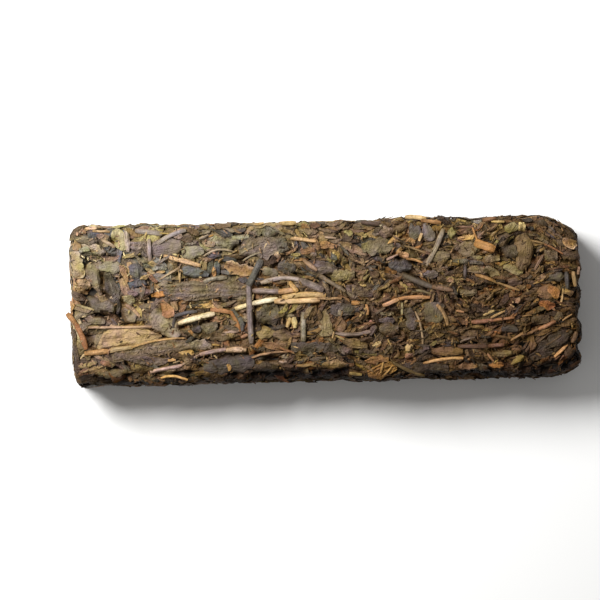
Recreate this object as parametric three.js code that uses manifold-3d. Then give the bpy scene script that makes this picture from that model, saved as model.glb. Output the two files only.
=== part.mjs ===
// Fu brick tea: a slim bar of dark tea leaves and stalks, pressed together in a mould.
// Millimetres. The bar lies flat with its shown face up: X runs along it, Y across it and Z up.
// The origin is under the middle of its outline, on the surface that it lies on.

import * as THREE from "three";
import { mergeVertices } from "three/addons/utils/BufferGeometryUtils.js";
import Module from "manifold-3d";

// Size of the pressed bar
const LENGTH = 116.2;
const WIDTH = 36.4;
const THICKNESS = 15;
// A stalk sticks out at the left end and the upper edge swells, so the bar's own middle is a little
// off the middle of its outline, which is where the origin is
const OFF_MIDDLE = [0.66, -0.18];

// The packed core, whose skin lies inside the bar's faces by the depth of the outer leaves
const SKIN_DEPTH = 0.75;
const CORE_ROUNDING = 2.2;
const CORE_SEGMENTS = [27, 8, 3];
const HOLLOW_DEPTH = 0.6;
const HUMP_HEIGHT = 0.3;

// How deep every leaf and stalk is rooted in the core, and how far at most it stands out of it
const ROOT_DEPTH = 0.9;
const LEAF_HEIGHT = 0.6;
const STALK_HEIGHT = 0.95;
const LOWEST_SHARE = 0.45;
const WAVE_HEIGHT = 0.14;
const DEEPEST_DIP = 1.4;
const SEGMENT_LENGTH = 3.4;
const MOST_SEGMENTS = 5;
// A piece's outline swells as half a sine wave that starts this share of a segment before its end
const BLUNT_END = 0.35;

// Places where the upper long edge swells, and the worn corners at the right end
const SWELLS = [
  { x: 20, reach: 7, rise: 0.7 },
  { x: 43, reach: 6, rise: 0.4 },
];
const WORN_CORNERS = [
  { side: 1, start: 46, loss: 2.6 },
  { side: -1, start: 48, loss: 1.7 },
];

// Stalks that lie on the shown face, from one end to the other, with the bow to their left
const STALKS = [
  { from: [-59.1, -1.7], to: [-55, -9.6], wide: 1.2, bow: 0.3 },
  { from: [-55.3, -10.9], to: [-47.6, -10.3], wide: 1.4, bow: 0 },
  { from: [-54.4, -5], to: [-50, -5.1], wide: 0.9, bow: 0 },
  { from: [-40, 15.1], to: [-40, 9.9], wide: 1, bow: 0 },
  { from: [-36.8, 11.2], to: [-28.2, 8.6], wide: 1, bow: 0 },
  { from: [-33.8, -4.5], to: [-25.4, -2.2], wide: 1.2, bow: 0 },
  { from: [-26.6, -1.5], to: [-21.3, -2.3], wide: 1.1, bow: 0.1 },
  { from: [-21.6, -2], to: [-19.8, -6.3], wide: 1, bow: 0.2 },
  { from: [-40.4, -15.4], to: [-18.4, -10.7], wide: 1.2, bow: 1 },
  { from: [-38, -16.8], to: [-32, -17.1], wide: 0.8, bow: 0.5 },
  { from: [-20.8, -1.2], to: [-11, 1.3], wide: 1.2, bow: 0 },
  { from: [-12, 0.3], to: [-1.6, 0.8], wide: 2.3, bow: 0.5 },
  { from: [-17, -9.3], to: [-17.2, 3.4], wide: 1.3, bow: 0.1 },
  { from: [-17.3, 2.6], to: [-14.4, 9.7], wide: 1.4, bow: -0.1 },
  { from: [-14.8, 4.4], to: [-4, 3.5], wide: 1.1, bow: 1.3 },
  { from: [-16.7, 2.7], to: [-9.3, 2.8], wide: 1.3, bow: 0 },
  { from: [-8.4, 14.6], to: [2.7, 12.4], wide: 1, bow: 0.3 },
  { from: [-10.2, 17.3], to: [-6.2, 17.3], wide: 1.3, bow: 0 },
  { from: [-5.2, -2.3], to: [-5.3, -9], wide: 1.2, bow: 0 },
  { from: [2, -7.2], to: [11.6, -5.6], wide: 1.1, bow: -1.1 },
  { from: [16.2, 0.2], to: [23.7, 0.5], wide: 1, bow: 0.2 },
  { from: [10.8, -3.3], to: [15.9, -0.1], wide: 1.1, bow: 0.2 },
  { from: [20.8, -4.2], to: [21.8, -10.1], wide: 0.8, bow: 0.2 },
  { from: [21.8, -14.6], to: [31, -13.6], wide: 1, bow: 0.4 },
  { from: [14.5, -13.7], to: [22.2, -17.2], wide: 1, bow: -0.4 },
  { from: [17.6, 17.2], to: [26.6, 17.1], wide: 1.5, bow: 0.1 },
  { from: [27.2, 15.8], to: [23, 7.4], wide: 1.3, bow: 0.3 },
  { from: [34.1, 12.8], to: [38.7, 10.9], wide: 2.1, bow: 0 },
  { from: [34.1, 5.4], to: [44.2, 1.7], wide: 1, bow: -0.1 },
  { from: [49.5, 9.6], to: [47.7, 6.2], wide: 1, bow: 0 },
  { from: [54.8, 6.2], to: [55.2, 1.9], wide: 1.1, bow: 0 },
  { from: [32.9, -5.4], to: [43.1, -4.3], wide: 1.1, bow: -0.2 },
  { from: [41.9, -9.8], to: [52.5, -5.7], wide: 1, bow: -0.1 },
  { from: [29.8, -10.9], to: [40.3, -10.8], wide: 1.4, bow: -0.1 },
  { from: [36.8, -15.2], to: [40.1, -15.2], wide: 1.4, bow: 0 },
];

// The largest leaves on the shown face, from stem end to tip
const LEAVES = [
  { from: [-51.2, -7.9], to: [-38.2, -6.6], wide: 4.6, bow: 0.2 },
  { from: [-49, -11.4], to: [-31, -8.5], wide: 3.2, bow: 0.5 },
  { from: [-48.5, -12.7], to: [-36, -13], wide: 2.2, bow: -0.3 },
  { from: [-40.6, -2.6], to: [-33.2, -6.8], wide: 4.4, bow: 0.3 },
  { from: [-54.2, 2.6], to: [-45.8, -1.3], wide: 4.2, bow: 0.3 },
  { from: [-54.6, 5.2], to: [-46, 8.9], wide: 3.6, bow: 1.4 },
  { from: [-56.9, 13], to: [-56.3, 6.2], wide: 3, bow: 0 },
  { from: [-47.6, 17.4], to: [-45.3, 12.2], wide: 3, bow: 0.2 },
  { from: [-46.6, -0.8], to: [-43.8, -4], wide: 3.3, bow: 0 },
  { from: [-27.2, 13.8], to: [-17.3, 15], wide: 4.2, bow: 0.4 },
  { from: [-19.2, 11.4], to: [-8.8, 13], wide: 5.2, bow: 0 },
  { from: [-33.2, 3.4], to: [-17.8, 3.2], wide: 4.4, bow: 0.2 },
  { from: [-22.8, 8.3], to: [-15.9, 7.4], wide: 2.8, bow: -0.2 },
  { from: [-16.2, -7], to: [-9.2, -7.2], wide: 3.2, bow: 0.2 },
  { from: [-25.7, -13.6], to: [-15.8, -13.2], wide: 3.6, bow: 0.3 },
  { from: [-0.6, 1], to: [0.4, -7.9], wide: 2.9, bow: 0 },
  { from: [-8.2, -10.3], to: [2.8, -10.6], wide: 2.5, bow: 0 },
  { from: [9.8, -16.9], to: [17.2, -14.5], wide: 3.6, bow: 0.2 },
  { from: [24.9, -0.4], to: [24.6, -5.8], wide: 5.2, bow: 0 },
  { from: [46.5, 14], to: [45.2, 6], wide: 3.8, bow: 0.2 },
  { from: [40.3, 6.9], to: [45, 5.5], wide: 2.3, bow: 0 },
  { from: [48.5, 0.5], to: [54, -0.2], wide: 5.6, bow: 0 },
  { from: [23.8, -11.3], to: [31.2, -11.8], wide: 2.4, bow: 0 },
  { from: [40.8, 15.3], to: [46.4, 15.3], wide: 2.8, bow: 0 },
  { from: [28.8, 10.5], to: [34.2, 11.6], wide: 4.2, bow: 0 },
  { from: [8.3, 12.7], to: [15.8, 12.1], wide: 3.6, bow: 0.2 },
  { from: [20.3, 15], to: [25.8, 15], wide: 4.8, bow: 0 },
  { from: [46.8, -12.8], to: [55.6, -8.3], wide: 3.6, bow: 0.4 },
  { from: [3, 13.3], to: [9.4, 10.6], wide: 1.9, bow: 0.2 },
  { from: [14.4, 8.1], to: [19.8, 7.5], wide: 3.2, bow: 0.2 },
];

// Leaves strewn over the parts of the skin that a rule covers: which way the skin faces there,
// how many leaves lie along and across it, their usual size, how far they turn from its length,
// and how far they stand out at most and at least. On the underside they all reach past the surface
// that the bar was pressed on, so the mould's floor flattened every one of them.
const STREWN = [
  { face: [0, 0, -1], along: 7, across: 3, long: 13, wide: 5.2, spread: 50, height: 1.2, lowest: 0.8 },
  { face: [0, -1, 0], along: 7, across: 2, long: 13, wide: 3.2, spread: 14, height: 0.85, lowest: 0.45 },
  { face: [0, 1, 0], along: 7, across: 2, long: 13, wide: 3.2, spread: 14, height: 0.85, lowest: 0.45 },
  { face: [-1, 0, 0], along: 2, across: 2, long: 12, wide: 3.2, spread: 20, height: 0.85, lowest: 0.45 },
  { face: [1, 0, 0], along: 2, across: 2, long: 12, wide: 3.2, spread: 20, height: 0.85, lowest: 0.45 },
];
const PLACES_SEED = 7741;
const WAVES_SEED = 3187;
const STREWN_JITTER = 0.5;
const STREWN_SIZES = [0.75, 1.15];

const UP = new THREE.Vector3(0, 0, 1);

const leafBrown = new THREE.MeshStandardMaterial({ color: 0x5c4c36, roughness: 0.75, metalness: 0 });

const wasm = await Module();
wasm.setup();

// Half sizes of the core, and of the inner box that its rounding is rolled around
const coreHalf = new THREE.Vector3(LENGTH, WIDTH, THICKNESS).multiplyScalar(0.5).subScalar(SKIN_DEPTH);
const innerHalf = coreHalf.clone().subScalar(CORE_ROUNDING);

// Park and Miller's generator: the same draws, between 0 and 1, for the same seed
function makeDraws(seed) {
  const MULTIPLIER = 16807;
  const MODULUS = 2147483647;
  let state = seed;
  return () => {
    state = (state * MULTIPLIER) % MODULUS;
    return state / MODULUS;
  };
}

const smooth = (value) => {
  const t = THREE.MathUtils.clamp(value, 0, 1);
  return t * t * (3 - 2 * t);
};

// The spot of the core's skin that is nearest to a point outside the inner box, and its normal there
function settle(point) {
  const inner = point.clone().clamp(innerHalf.clone().negate(), innerHalf);
  const normal = point.clone().sub(inner).normalize();
  return { spot: inner.addScaledVector(normal, CORE_ROUNDING), normal };
}

// A walk over the skin, which follows the roundings and stays level with the skin
function walk(start, distance) {
  const LONGEST_STEP = 0.8;
  const steps = Math.max(1, Math.ceil(Math.abs(distance) / LONGEST_STEP));
  let { spot, normal } = start;
  const heading = start.heading.clone();
  for (let i = 0; i < steps; i++) {
    ({ spot, normal } = settle(spot.clone().addScaledVector(heading, distance / steps)));
    heading.addScaledVector(normal, -heading.dot(normal)).normalize();
  }
  return { spot, normal, heading };
}

// The bar's real outline: its upper edge swells and two corners are worn, all as deep as the bar
function wear(point) {
  const half = WIDTH / 2;
  for (const { x, reach, rise } of SWELLS)
    point.y += rise * Math.exp(-(((point.x - x) / reach) ** 2)) * smooth(point.y / half);
  for (const { side, start, loss } of WORN_CORNERS) {
    const along = smooth((point.x - start) / (LENGTH / 2 - start));
    point.y -= side * loss * along * along * smooth((side * point.y) / half);
  }
  const [right, up] = OFF_MIDDLE;
  return point.add(new THREE.Vector3(right, up, THICKNESS / 2));
}

// A box in facets, as a solid, with every corner moved by a rule
function mouldedBox(size, segments, move) {
  const geometry = new THREE.BoxGeometry(...size, ...segments);
  geometry.deleteAttribute("normal");
  geometry.deleteAttribute("uv");
  const merged = mergeVertices(geometry);
  const corners = merged.getAttribute("position");
  const corner = new THREE.Vector3();
  for (let i = 0; i < corners.count; i++) {
    const moved = move(corner.fromBufferAttribute(corners, i));
    corners.setXYZ(i, moved.x, moved.y, moved.z);
  }
  const triVerts = new Uint32Array(merged.index.array);
  return new wasm.Manifold(new wasm.Mesh({ numProp: 3, vertProperties: corners.array, triVerts }));
}

// The packed core: a rounded bar whose skin rises and sinks from facet to facet
function core() {
  const CORE_SEED = 20441;
  const draw = makeDraws(CORE_SEED);
  const size = coreHalf.toArray().map((half) => 2 * half);
  return mouldedBox(size, CORE_SEGMENTS, (corner) => {
    const { spot, normal } = settle(corner);
    const relief = THREE.MathUtils.lerp(-HOLLOW_DEPTH, HUMP_HEIGHT, draw());
    return wear(spot.addScaledVector(normal, relief));
  });
}

// The line that a piece follows over the skin: a place and heading for each of its segments
function trailFrom(start, long, turnPerStep, segments) {
  const trail = [start];
  for (let i = 0; i < segments; i++) {
    const last = trail[i];
    const heading = last.heading.clone().applyAxisAngle(last.normal, turnPerStep);
    trail.push(walk({ ...last, heading }, long / segments));
  }
  return trail;
}

// A stiff stalk doesn't follow the roundings: it runs straight on, and stands out past an end
function stiffLine(from, long, heading, turnPerStep, segments) {
  const spot = new THREE.Vector3(from[0], from[1], coreHalf.z);
  const trail = [];
  for (let i = 0; i <= segments; i++) {
    const onSkin = settle(spot).spot;
    const level = Math.max(onSkin.z, coreHalf.z - DEEPEST_DIP);
    trail.push({ spot: spot.clone().setZ(level), normal: UP, heading: heading.clone() });
    heading.applyAxisAngle(UP, turnPerStep);
    spot.addScaledVector(heading, long / segments);
  }
  return trail;
}

// A leaf or stalk: a thin bent solid, rooted in the core, whose top rises to its ridge. Its box runs
// from -1 to 1 along the trail, across it and from its root to its top.
function piece(trail, { wide, height, lowest, ridge, endWidth, stiff }, draw) {
  const segments = trail.length - 1;
  const stand = height * THREE.MathUtils.lerp(lowest, 1, draw());
  return mouldedBox([2, 2, 2], [segments, 2, 1], (corner) => {
    const along = Math.round(((corner.x + 1) / 2) * segments);
    const swell = Math.sin((Math.PI * (along + BLUNT_END)) / (segments + 2 * BLUNT_END));
    const half = (wide / 2) * THREE.MathUtils.lerp(endWidth, 1, swell);
    const place = trail[along];
    const sideways = place.normal.clone().cross(place.heading);
    const { spot, normal } = stiff
      ? { spot: place.spot.clone().addScaledVector(sideways, corner.y * half), normal: UP }
      : walk({ ...place, heading: sideways }, corner.y * half);
    const wave = WAVE_HEIGHT * (draw() - 0.5) * 2;
    const top = stand * (1 - ridge * Math.abs(corner.y)) + wave;
    return wear(spot.addScaledVector(normal, corner.z > 0 ? top : -ROOT_DEPTH));
  });
}

// How each kind stands out of the core: at most and at least, how its top falls to its sides,
// and how wide its ends are beside its middle
const leafKind = { height: LEAF_HEIGHT, lowest: LOWEST_SHARE, ridge: 0.25, endWidth: 0.3 };
const stalkKind = { height: STALK_HEIGHT, lowest: 0.85, ridge: 0.6, endWidth: 0.75, stiff: true };

const segmentsFor = (long) => THREE.MathUtils.clamp(Math.round(long / SEGMENT_LENGTH), 2, MOST_SEGMENTS);

// A piece of the shown face, from one place to another in plan
function placedPiece({ from, to, wide, bow }, kind, draw) {
  const line = new THREE.Vector2(to[0] - from[0], to[1] - from[1]);
  const long = line.length();
  const segments = segmentsFor(long);
  const bend = Math.atan2(4 * bow, long);
  const heading = new THREE.Vector3(line.x, line.y, 0).normalize().applyAxisAngle(UP, bend);
  const turnPerStep = (-2 * bend) / segments;
  const above = new THREE.Vector3(from[0], from[1], coreHalf.z);
  const trail = kind.stiff
    ? stiffLine(from, long, heading, turnPerStep, segments)
    : trailFrom(walk({ ...settle(above), heading }, 0), long, turnPerStep, segments);
  return piece(trail, { wide, ...kind }, draw);
}

// Leaves strewn over one part of the skin, on a grid whose every place and turn is a little off
function* strewnPieces({ face, along, across, long, wide, spread, height, lowest }, drawPlace, draw) {
  const normal = new THREE.Vector3(...face);
  const lengthwise = new THREE.Vector3(face[0] === 0 ? 1 : 0, face[0] === 0 ? 0 : 1, 0);
  const crosswise = normal.clone().cross(lengthwise);
  for (let i = 0; i < along; i++)
    for (let j = 0; j < across; j++) {
      const x = ((i + 0.5 + STREWN_JITTER * (drawPlace() - 0.5)) / along) * 2 - 1;
      const y = ((j + 0.5 + STREWN_JITTER * (drawPlace() - 0.5)) / across) * 2 - 1;
      const outside = normal.clone().add(lengthwise.clone().multiplyScalar(x));
      outside.addScaledVector(crosswise, y).multiply(coreHalf);
      const turn = THREE.MathUtils.degToRad(spread) * (drawPlace() * 2 - 1);
      const heading = lengthwise.clone().applyAxisAngle(normal, turn);
      const size = THREE.MathUtils.lerp(...STREWN_SIZES, drawPlace());
      const segments = segmentsFor(long * size);
      const middle = settle(outside);
      const start = walk({ ...middle, heading }, (-long * size) / 2);
      const trail = trailFrom(start, long * size, 0, segments);
      yield piece(trail, { ...leafKind, height, lowest, wide: wide * size }, draw);
    }
}

// The pressed bar: all the pieces fused to the core, and flat where the mould's faces pressed them
function pressedBar() {
  const drawPlace = makeDraws(PLACES_SEED);
  const draw = makeDraws(WAVES_SEED);
  const pieces = [
    ...STREWN.flatMap((part) => [...strewnPieces(part, drawPlace, draw)]),
    ...LEAVES.map((leaf) => placedPiece(leaf, leafKind, draw)),
    ...STALKS.map((stalk) => placedPiece(stalk, stalkKind, draw)),
  ];
  const ROOM = 10;
  const mould = mouldedBox([LENGTH + ROOM, WIDTH + ROOM, THICKNESS], [1, 1, 1], (corner) => {
    corner.z += THICKNESS / 2;
    return corner;
  });
  const fused = pieces.reduce((bar, next) => bar.add(next), core()).intersect(mould);
  const { numProp, vertProperties, triVerts } = fused.getMesh();
  const geometry = new THREE.BufferGeometry();
  geometry.setAttribute("position", new THREE.BufferAttribute(vertProperties, numProp));
  geometry.setIndex(new THREE.BufferAttribute(triVerts, 1));
  geometry.computeVertexNormals();
  return geometry;
}

const brick = new THREE.Mesh(pressedBar(), leafBrown);
brick.name = "tea_brick";

const group = new THREE.Group();
group.add(brick);

export default group;
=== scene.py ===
# %% [markdown]
# # A pressed bar of dark tea
# The object is a slim bar of tea: thousands of dark, dry leaves and a few pale stalks, steamed,
# packed into a mould and pressed. It lies flat, with its shown face up. The plain solid from the
# CAD model gives the true size and outline. Here it is replaced by what the real bar is made of:
# leaf upon leaf, each a thin closed sheet that is draped over the ones below it.

# %% Load the frame
import math

import bpy
import numpy as np
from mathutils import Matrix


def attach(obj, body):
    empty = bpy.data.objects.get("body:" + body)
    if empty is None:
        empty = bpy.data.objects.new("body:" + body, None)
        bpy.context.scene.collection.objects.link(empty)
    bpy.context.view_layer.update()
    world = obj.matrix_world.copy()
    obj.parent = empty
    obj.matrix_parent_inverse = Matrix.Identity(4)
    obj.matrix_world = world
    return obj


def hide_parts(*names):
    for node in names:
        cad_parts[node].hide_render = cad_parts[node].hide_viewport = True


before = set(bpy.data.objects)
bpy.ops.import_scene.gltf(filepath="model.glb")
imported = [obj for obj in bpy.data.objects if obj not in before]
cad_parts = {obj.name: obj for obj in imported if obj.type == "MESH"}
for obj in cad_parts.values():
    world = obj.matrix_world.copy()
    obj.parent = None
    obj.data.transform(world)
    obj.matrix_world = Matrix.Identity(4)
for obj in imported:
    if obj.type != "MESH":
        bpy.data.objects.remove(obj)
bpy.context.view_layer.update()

MM = 0.001

# %% [markdown]
# ## The bed that the leaves lie on
# The bar is a block with rounded edges. A leaf that reaches an edge bends round it, so flat sheets
# would not do. Instead every point starts on a bed, the rounded block a little way inside the bar,
# and is lifted from there. A point is set back on the bed by finding the nearest place of an inner
# block and going out from it by the rounding: the same rule works on faces, edges and corners.

# %% The bed, in millimetres
LENGTH, WIDTH, THICKNESS = 116.2, 36.4, 15.0
EDGE_ROUNDING = 2.95
BED_DEPTH = 0.9
BED_ROUNDING = EDGE_ROUNDING - BED_DEPTH
BAR_HALF = np.array([LENGTH, WIDTH, THICKNESS]) / 2
BED_HALF = BAR_HALF - BED_DEPTH
INNER_HALF = BAR_HALF - EDGE_ROUNDING


def settle(points):
    """The nearest places of the bed, and its normals there."""
    inner = np.clip(points, -INNER_HALF, INNER_HALF)
    normals = points - inner
    normals = normals / np.linalg.norm(normals, axis=-1, keepdims=True)
    return inner + BED_ROUNDING * normals, normals


def level(headings, normals):
    """Headings laid into the bed's surface, one long."""
    headings = headings - (headings * normals).sum(-1, keepdims=True) * normals
    return headings / np.linalg.norm(headings, axis=-1, keepdims=True)


def turned(headings, normals, angles):
    """Headings turned about the normals, to the left."""
    angles = np.asarray(angles)[..., None]
    return headings * np.cos(angles) + np.cross(normals, headings) * np.sin(angles)


print("bed half sizes in mm:", BED_HALF)

# %% [markdown]
# ## What the mould and wear do to the outline
# No pressed bar is a perfect block. The upper long edge of this one swells in two places and its
# right-hand corners are worn. One rule moves every finished point, whichever piece it is in, so
# that nothing tears. The same rule shapes the CAD solid.

# %% Swells and worn corners
SWELLS = [(20, 7, 0.7), (43, 6, 0.4)]
WORN_CORNERS = [(1, 46, 2.6), (-1, 48, 1.7)]
OFF_MIDDLE = np.array([0.66, -0.18, THICKNESS / 2])


def smooth(value):
    t = np.clip(value, 0, 1)
    return t * t * (3 - 2 * t)


def wear(points):
    """The bar's points where the real outline has them, in millimetres in the frame."""
    x, y, z = np.moveaxis(points, -1, 0)
    half = WIDTH / 2
    for middle, reach, rise in SWELLS:
        y = y + rise * np.exp(-(((x - middle) / reach) ** 2)) * smooth(y / half)
    for side, start, loss in WORN_CORNERS:
        along = smooth((x - start) / (LENGTH / 2 - start))
        y = y - side * loss * along**2 * smooth(side * y / half)
    return np.stack([x, y, z], -1) + OFF_MIDDLE


# %% [markdown]
# ## How high the heap already is
# Draping needs to know what lies below. A map in small cells keeps the height of the heap above
# the bed. A new leaf reads it, rests on the highest places, bridges the hollows a little and then
# writes its own height back. It starts with gentle bumps, so that no leaf lies quite flat.

# %% The map of heights
CELL = 0.4
LOWEST = -1.5
BUMP_HEIGHT = 0.55
MAP_HALF = np.ceil(BED_HALF / CELL).astype(int) + 1
MAP_SHAPE = 2 * MAP_HALF + 1
rng = np.random.default_rng(4117)


def soft_noise(points, reach, waves=7, seed=1):
    """A smooth random field between about -1 and 1 whose bumps are about that far apart."""
    draws = np.random.default_rng(seed)
    total = 0
    for _ in range(waves):
        direction = draws.normal(size=3)
        direction *= 2 * math.pi / reach / np.linalg.norm(direction) * draws.uniform(0.6, 1.4)
        total = total + np.sin(points @ direction + draws.uniform(0, 2 * math.pi))
    return total / math.sqrt(waves)


def ground(points):
    """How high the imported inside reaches."""
    return LOWEST + BUMP_HEIGHT * (0.5 + 0.5 * soft_noise(points, 5.5))


def cells(points):
    """The map's flat index for places on the bed."""
    i, j, k = np.moveaxis(np.rint(points / CELL).astype(int) + MAP_HALF, -1, 0)
    return (i * MAP_SHAPE[1] + j) * MAP_SHAPE[2] + k


places = np.stack(np.meshgrid(*[np.arange(n) for n in MAP_SHAPE], indexing="ij"), -1)
places = (places.reshape(-1, 3) - MAP_HALF) * CELL
heights = ground(places).astype(np.float32)
claimed = np.zeros(len(heights), bool)
outer = (np.abs(places) > INNER_HALF).any(1)
on_bed = np.zeros(len(places), bool)
on_bed[outer] = np.linalg.norm(settle(places[outer])[0] - places[outer], axis=1) < 0.5 * CELL


def show_heights(name):
    spread = np.percentile(heights[on_bed], [1, 10, 30, 50, 70, 90, 99])
    print(name, "heights, lowest to highest:", spread.round(2))


show_heights("ground")

# %% [markdown]
# ## The shape of one leaf
# Every leaf is a grid of rows along it and columns across it. A spine is walked over the bed from
# the leaf's middle, then each row is walked out to both sides. Many leaves of one size are laid
# out at once as arrays, because a separate Blender object for each would take far longer.

# %% Walking the grids of many leaves
def lay_out(spots, normals, headings, long, bend, left, right, slant, columns):
    """Places and normals of the grids, with left and right as half widths for each row."""
    count, rows = left.shape
    middle = (rows - 1) // 2
    spine = np.empty((3, count, rows, 3))
    spine[:, :, middle] = spots, normals, headings
    step, angle = long / (rows - 1), bend / (rows - 1)
    for side in (1, -1):
        here, up, ahead = spots, normals, headings
        for k in range(1, rows - middle):
            ahead = turned(ahead, up, side * angle)
            here, up = settle(here + ahead * (side * step)[:, None])
            ahead = level(ahead, up)
            spine[:, :, middle + side * k] = here, up, ahead
    centre = columns // 2
    grid = np.empty((2, count, rows, columns, 3))
    grid[:, :, :, centre] = spine[:2]
    cut = slant[:, None] * np.linspace(-1, 1, rows)
    for side, reach in ((1, left), (-1, right)):
        here, up, ahead = spine
        aside = turned(np.cross(up, ahead), up, cut)
        for k in range(1, centre + 1):
            here, up = settle(here + aside * (side * reach / centre)[..., None])
            aside = level(aside, up)
            grid[:, :, :, centre + side * k] = here, up
    return grid


# %% [markdown]
# The outline swells from a stem end to a tip, each side on its own, with torn and nicked edges.
# The surface is a sum of what dry tea leaves do: they fold along the midrib, cup their edges, roll
# up lengthwise, ridge and crumple. How much of each a leaf gets is drawn at random, so no two are
# alike.

# %% Outlines and surfaces
PEAKS = (0.5, 1.9)
BLUNTNESS = (0.4, 1.8)
STEM_END, TO_TIP = 0.06, 0.88
NICK_MEAN = 2.5
NARROWEST, WIDEST = 0.08, 1.4
RIB_OFF_MIDDLE = 0.4
TWISTS = 4
RIDGE_DRIFT = 2.5
WAVE_COUNTS = (0.7, 1.3)
CURL_START, CURL_POWER = 0.45, 1.5
LUMPS, GRAIN = 2.2, 0.2


def spread_matrix(count, factor):
    """Turns count samples into factor times as many, in straight lines between them."""
    fine = np.linspace(0, count - 1, (count - 1) * factor + 1)
    low = np.minimum(fine.astype(int), count - 2)
    weights = np.zeros((len(fine), count))
    weights[np.arange(len(fine)), low] = 1 - (fine - low)
    weights[np.arange(len(fine)), low + 1] = fine - low
    return weights


def blur_matrix(count):
    """Each sample becomes the mean of itself and its neighbours."""
    weights = np.eye(count) + np.eye(count, k=1) + np.eye(count, k=-1)
    return weights / weights.sum(1, keepdims=True)


def outline(count, rows, wide, blunt, ragged, draws, profile=None):
    """Half widths of one side of each leaf, by row: swelling, or as the profile says."""
    u = np.linspace(0, 1, rows)
    peak = draws.uniform(*PEAKS, (count, 1))
    blunt = blunt * draws.uniform(*BLUNTNESS, (count, 1))
    swell = np.sin(math.pi * (STEM_END + TO_TIP * u[None] ** peak)) ** blunt
    if profile:
        swell = np.interp(u, *zip(*profile))[None]
    nicks = draws.normal(0, 1, (count, rows))
    nicks[:, 1:-1] = (nicks[:, :-2] + 2 * nicks[:, 1:-1] + nicks[:, 2:]) / NICK_MEAN
    return wide[:, None] / 2 * np.clip(swell * (1 + ragged * nicks), NARROWEST, WIDEST)


def surface(
    count, rows, columns, draws, wide,
    fold=0.0, cup=0.0, roll=0.0, tilt=0.0, ridges=0.0, turns=1.3, crumple=0.05, curl=0.0,
):
    """How far the sheets rise above where they rest, at least 0."""
    u = np.linspace(0, 1, rows)[None, :, None]
    v = np.linspace(-1, 1, columns)[None, None, :]

    def some(most, low=0.0):
        """How much of it each leaf has, up to the most."""
        return draws.uniform(low, 1, (count, 1, 1)) * most

    def either_way(most):
        return draws.uniform(-most, most, (count, 1, 1))

    half = wide[:, None, None] / 2
    phase = draws.uniform(0, 2 * math.pi, (4, count, 1, 1))
    rise = some(fold) * half * (1 - np.abs(v - either_way(RIB_OFF_MIDDLE)))
    rise = rise + some(cup) * half * v**2
    rise = rise + some(roll, 0.6) * half * np.sqrt(np.clip(1 - v**2, 0, 1))
    rise = rise + some(tilt, 0.2) * v * np.cos(phase[0] + either_way(TWISTS) * u)
    drift = phase[1] + either_way(RIDGE_DRIFT) * u
    waves = turns * draws.uniform(*WAVE_COUNTS, (count, 1, 1))
    rise = rise + some(ridges, 0.4) * np.cos(math.pi * waves * v + drift)
    rise = rise + some(curl, 0.3) * smooth((u - CURL_START) / (1 - CURL_START)) ** CURL_POWER
    rough = draws.normal(0, 1, (count, rows, columns))
    rough = blur_matrix(rows) @ rough @ blur_matrix(columns).T
    rise = rise + some(crumple, 0.4) * LUMPS * rough
    rise = rise + GRAIN * crumple * draws.normal(0, 1, rough.shape)
    return rise - rise.min(axis=(1, 2), keepdims=True)


# %% [markdown]
# ## Draping
# A leaf is laid by three rules. It is left out where the heap is already high, so that the bar
# fills evenly as it does in the mould. It rests on what is below and bridges gaps like a stiff
# sheet. And it hardly covers a leaf that was listed from the photograph. Some leaves are
# smoother than others: each keeps a number for its polish, which its material reads later.

# %% Laying leaves one after another
heap = {}
draws_for_marks = np.random.default_rng(88)
draws_for_polish = np.random.default_rng(89)
MOST_POLISH = 0.8
# Painted light and shade on each leaf: crests lighter, low parts and the underside darker.
CREST_SHADE = 1.1
CREST_LIMITS = (-0.6, 0.5)
UNDERSIDE_SHADE = 0.7
HIGHEST_SPOT = 0.55
BRIDGING = 0.65
EDGE_THINNING = 0.55
OVERLAP = 0.02
FINER = 3


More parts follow.
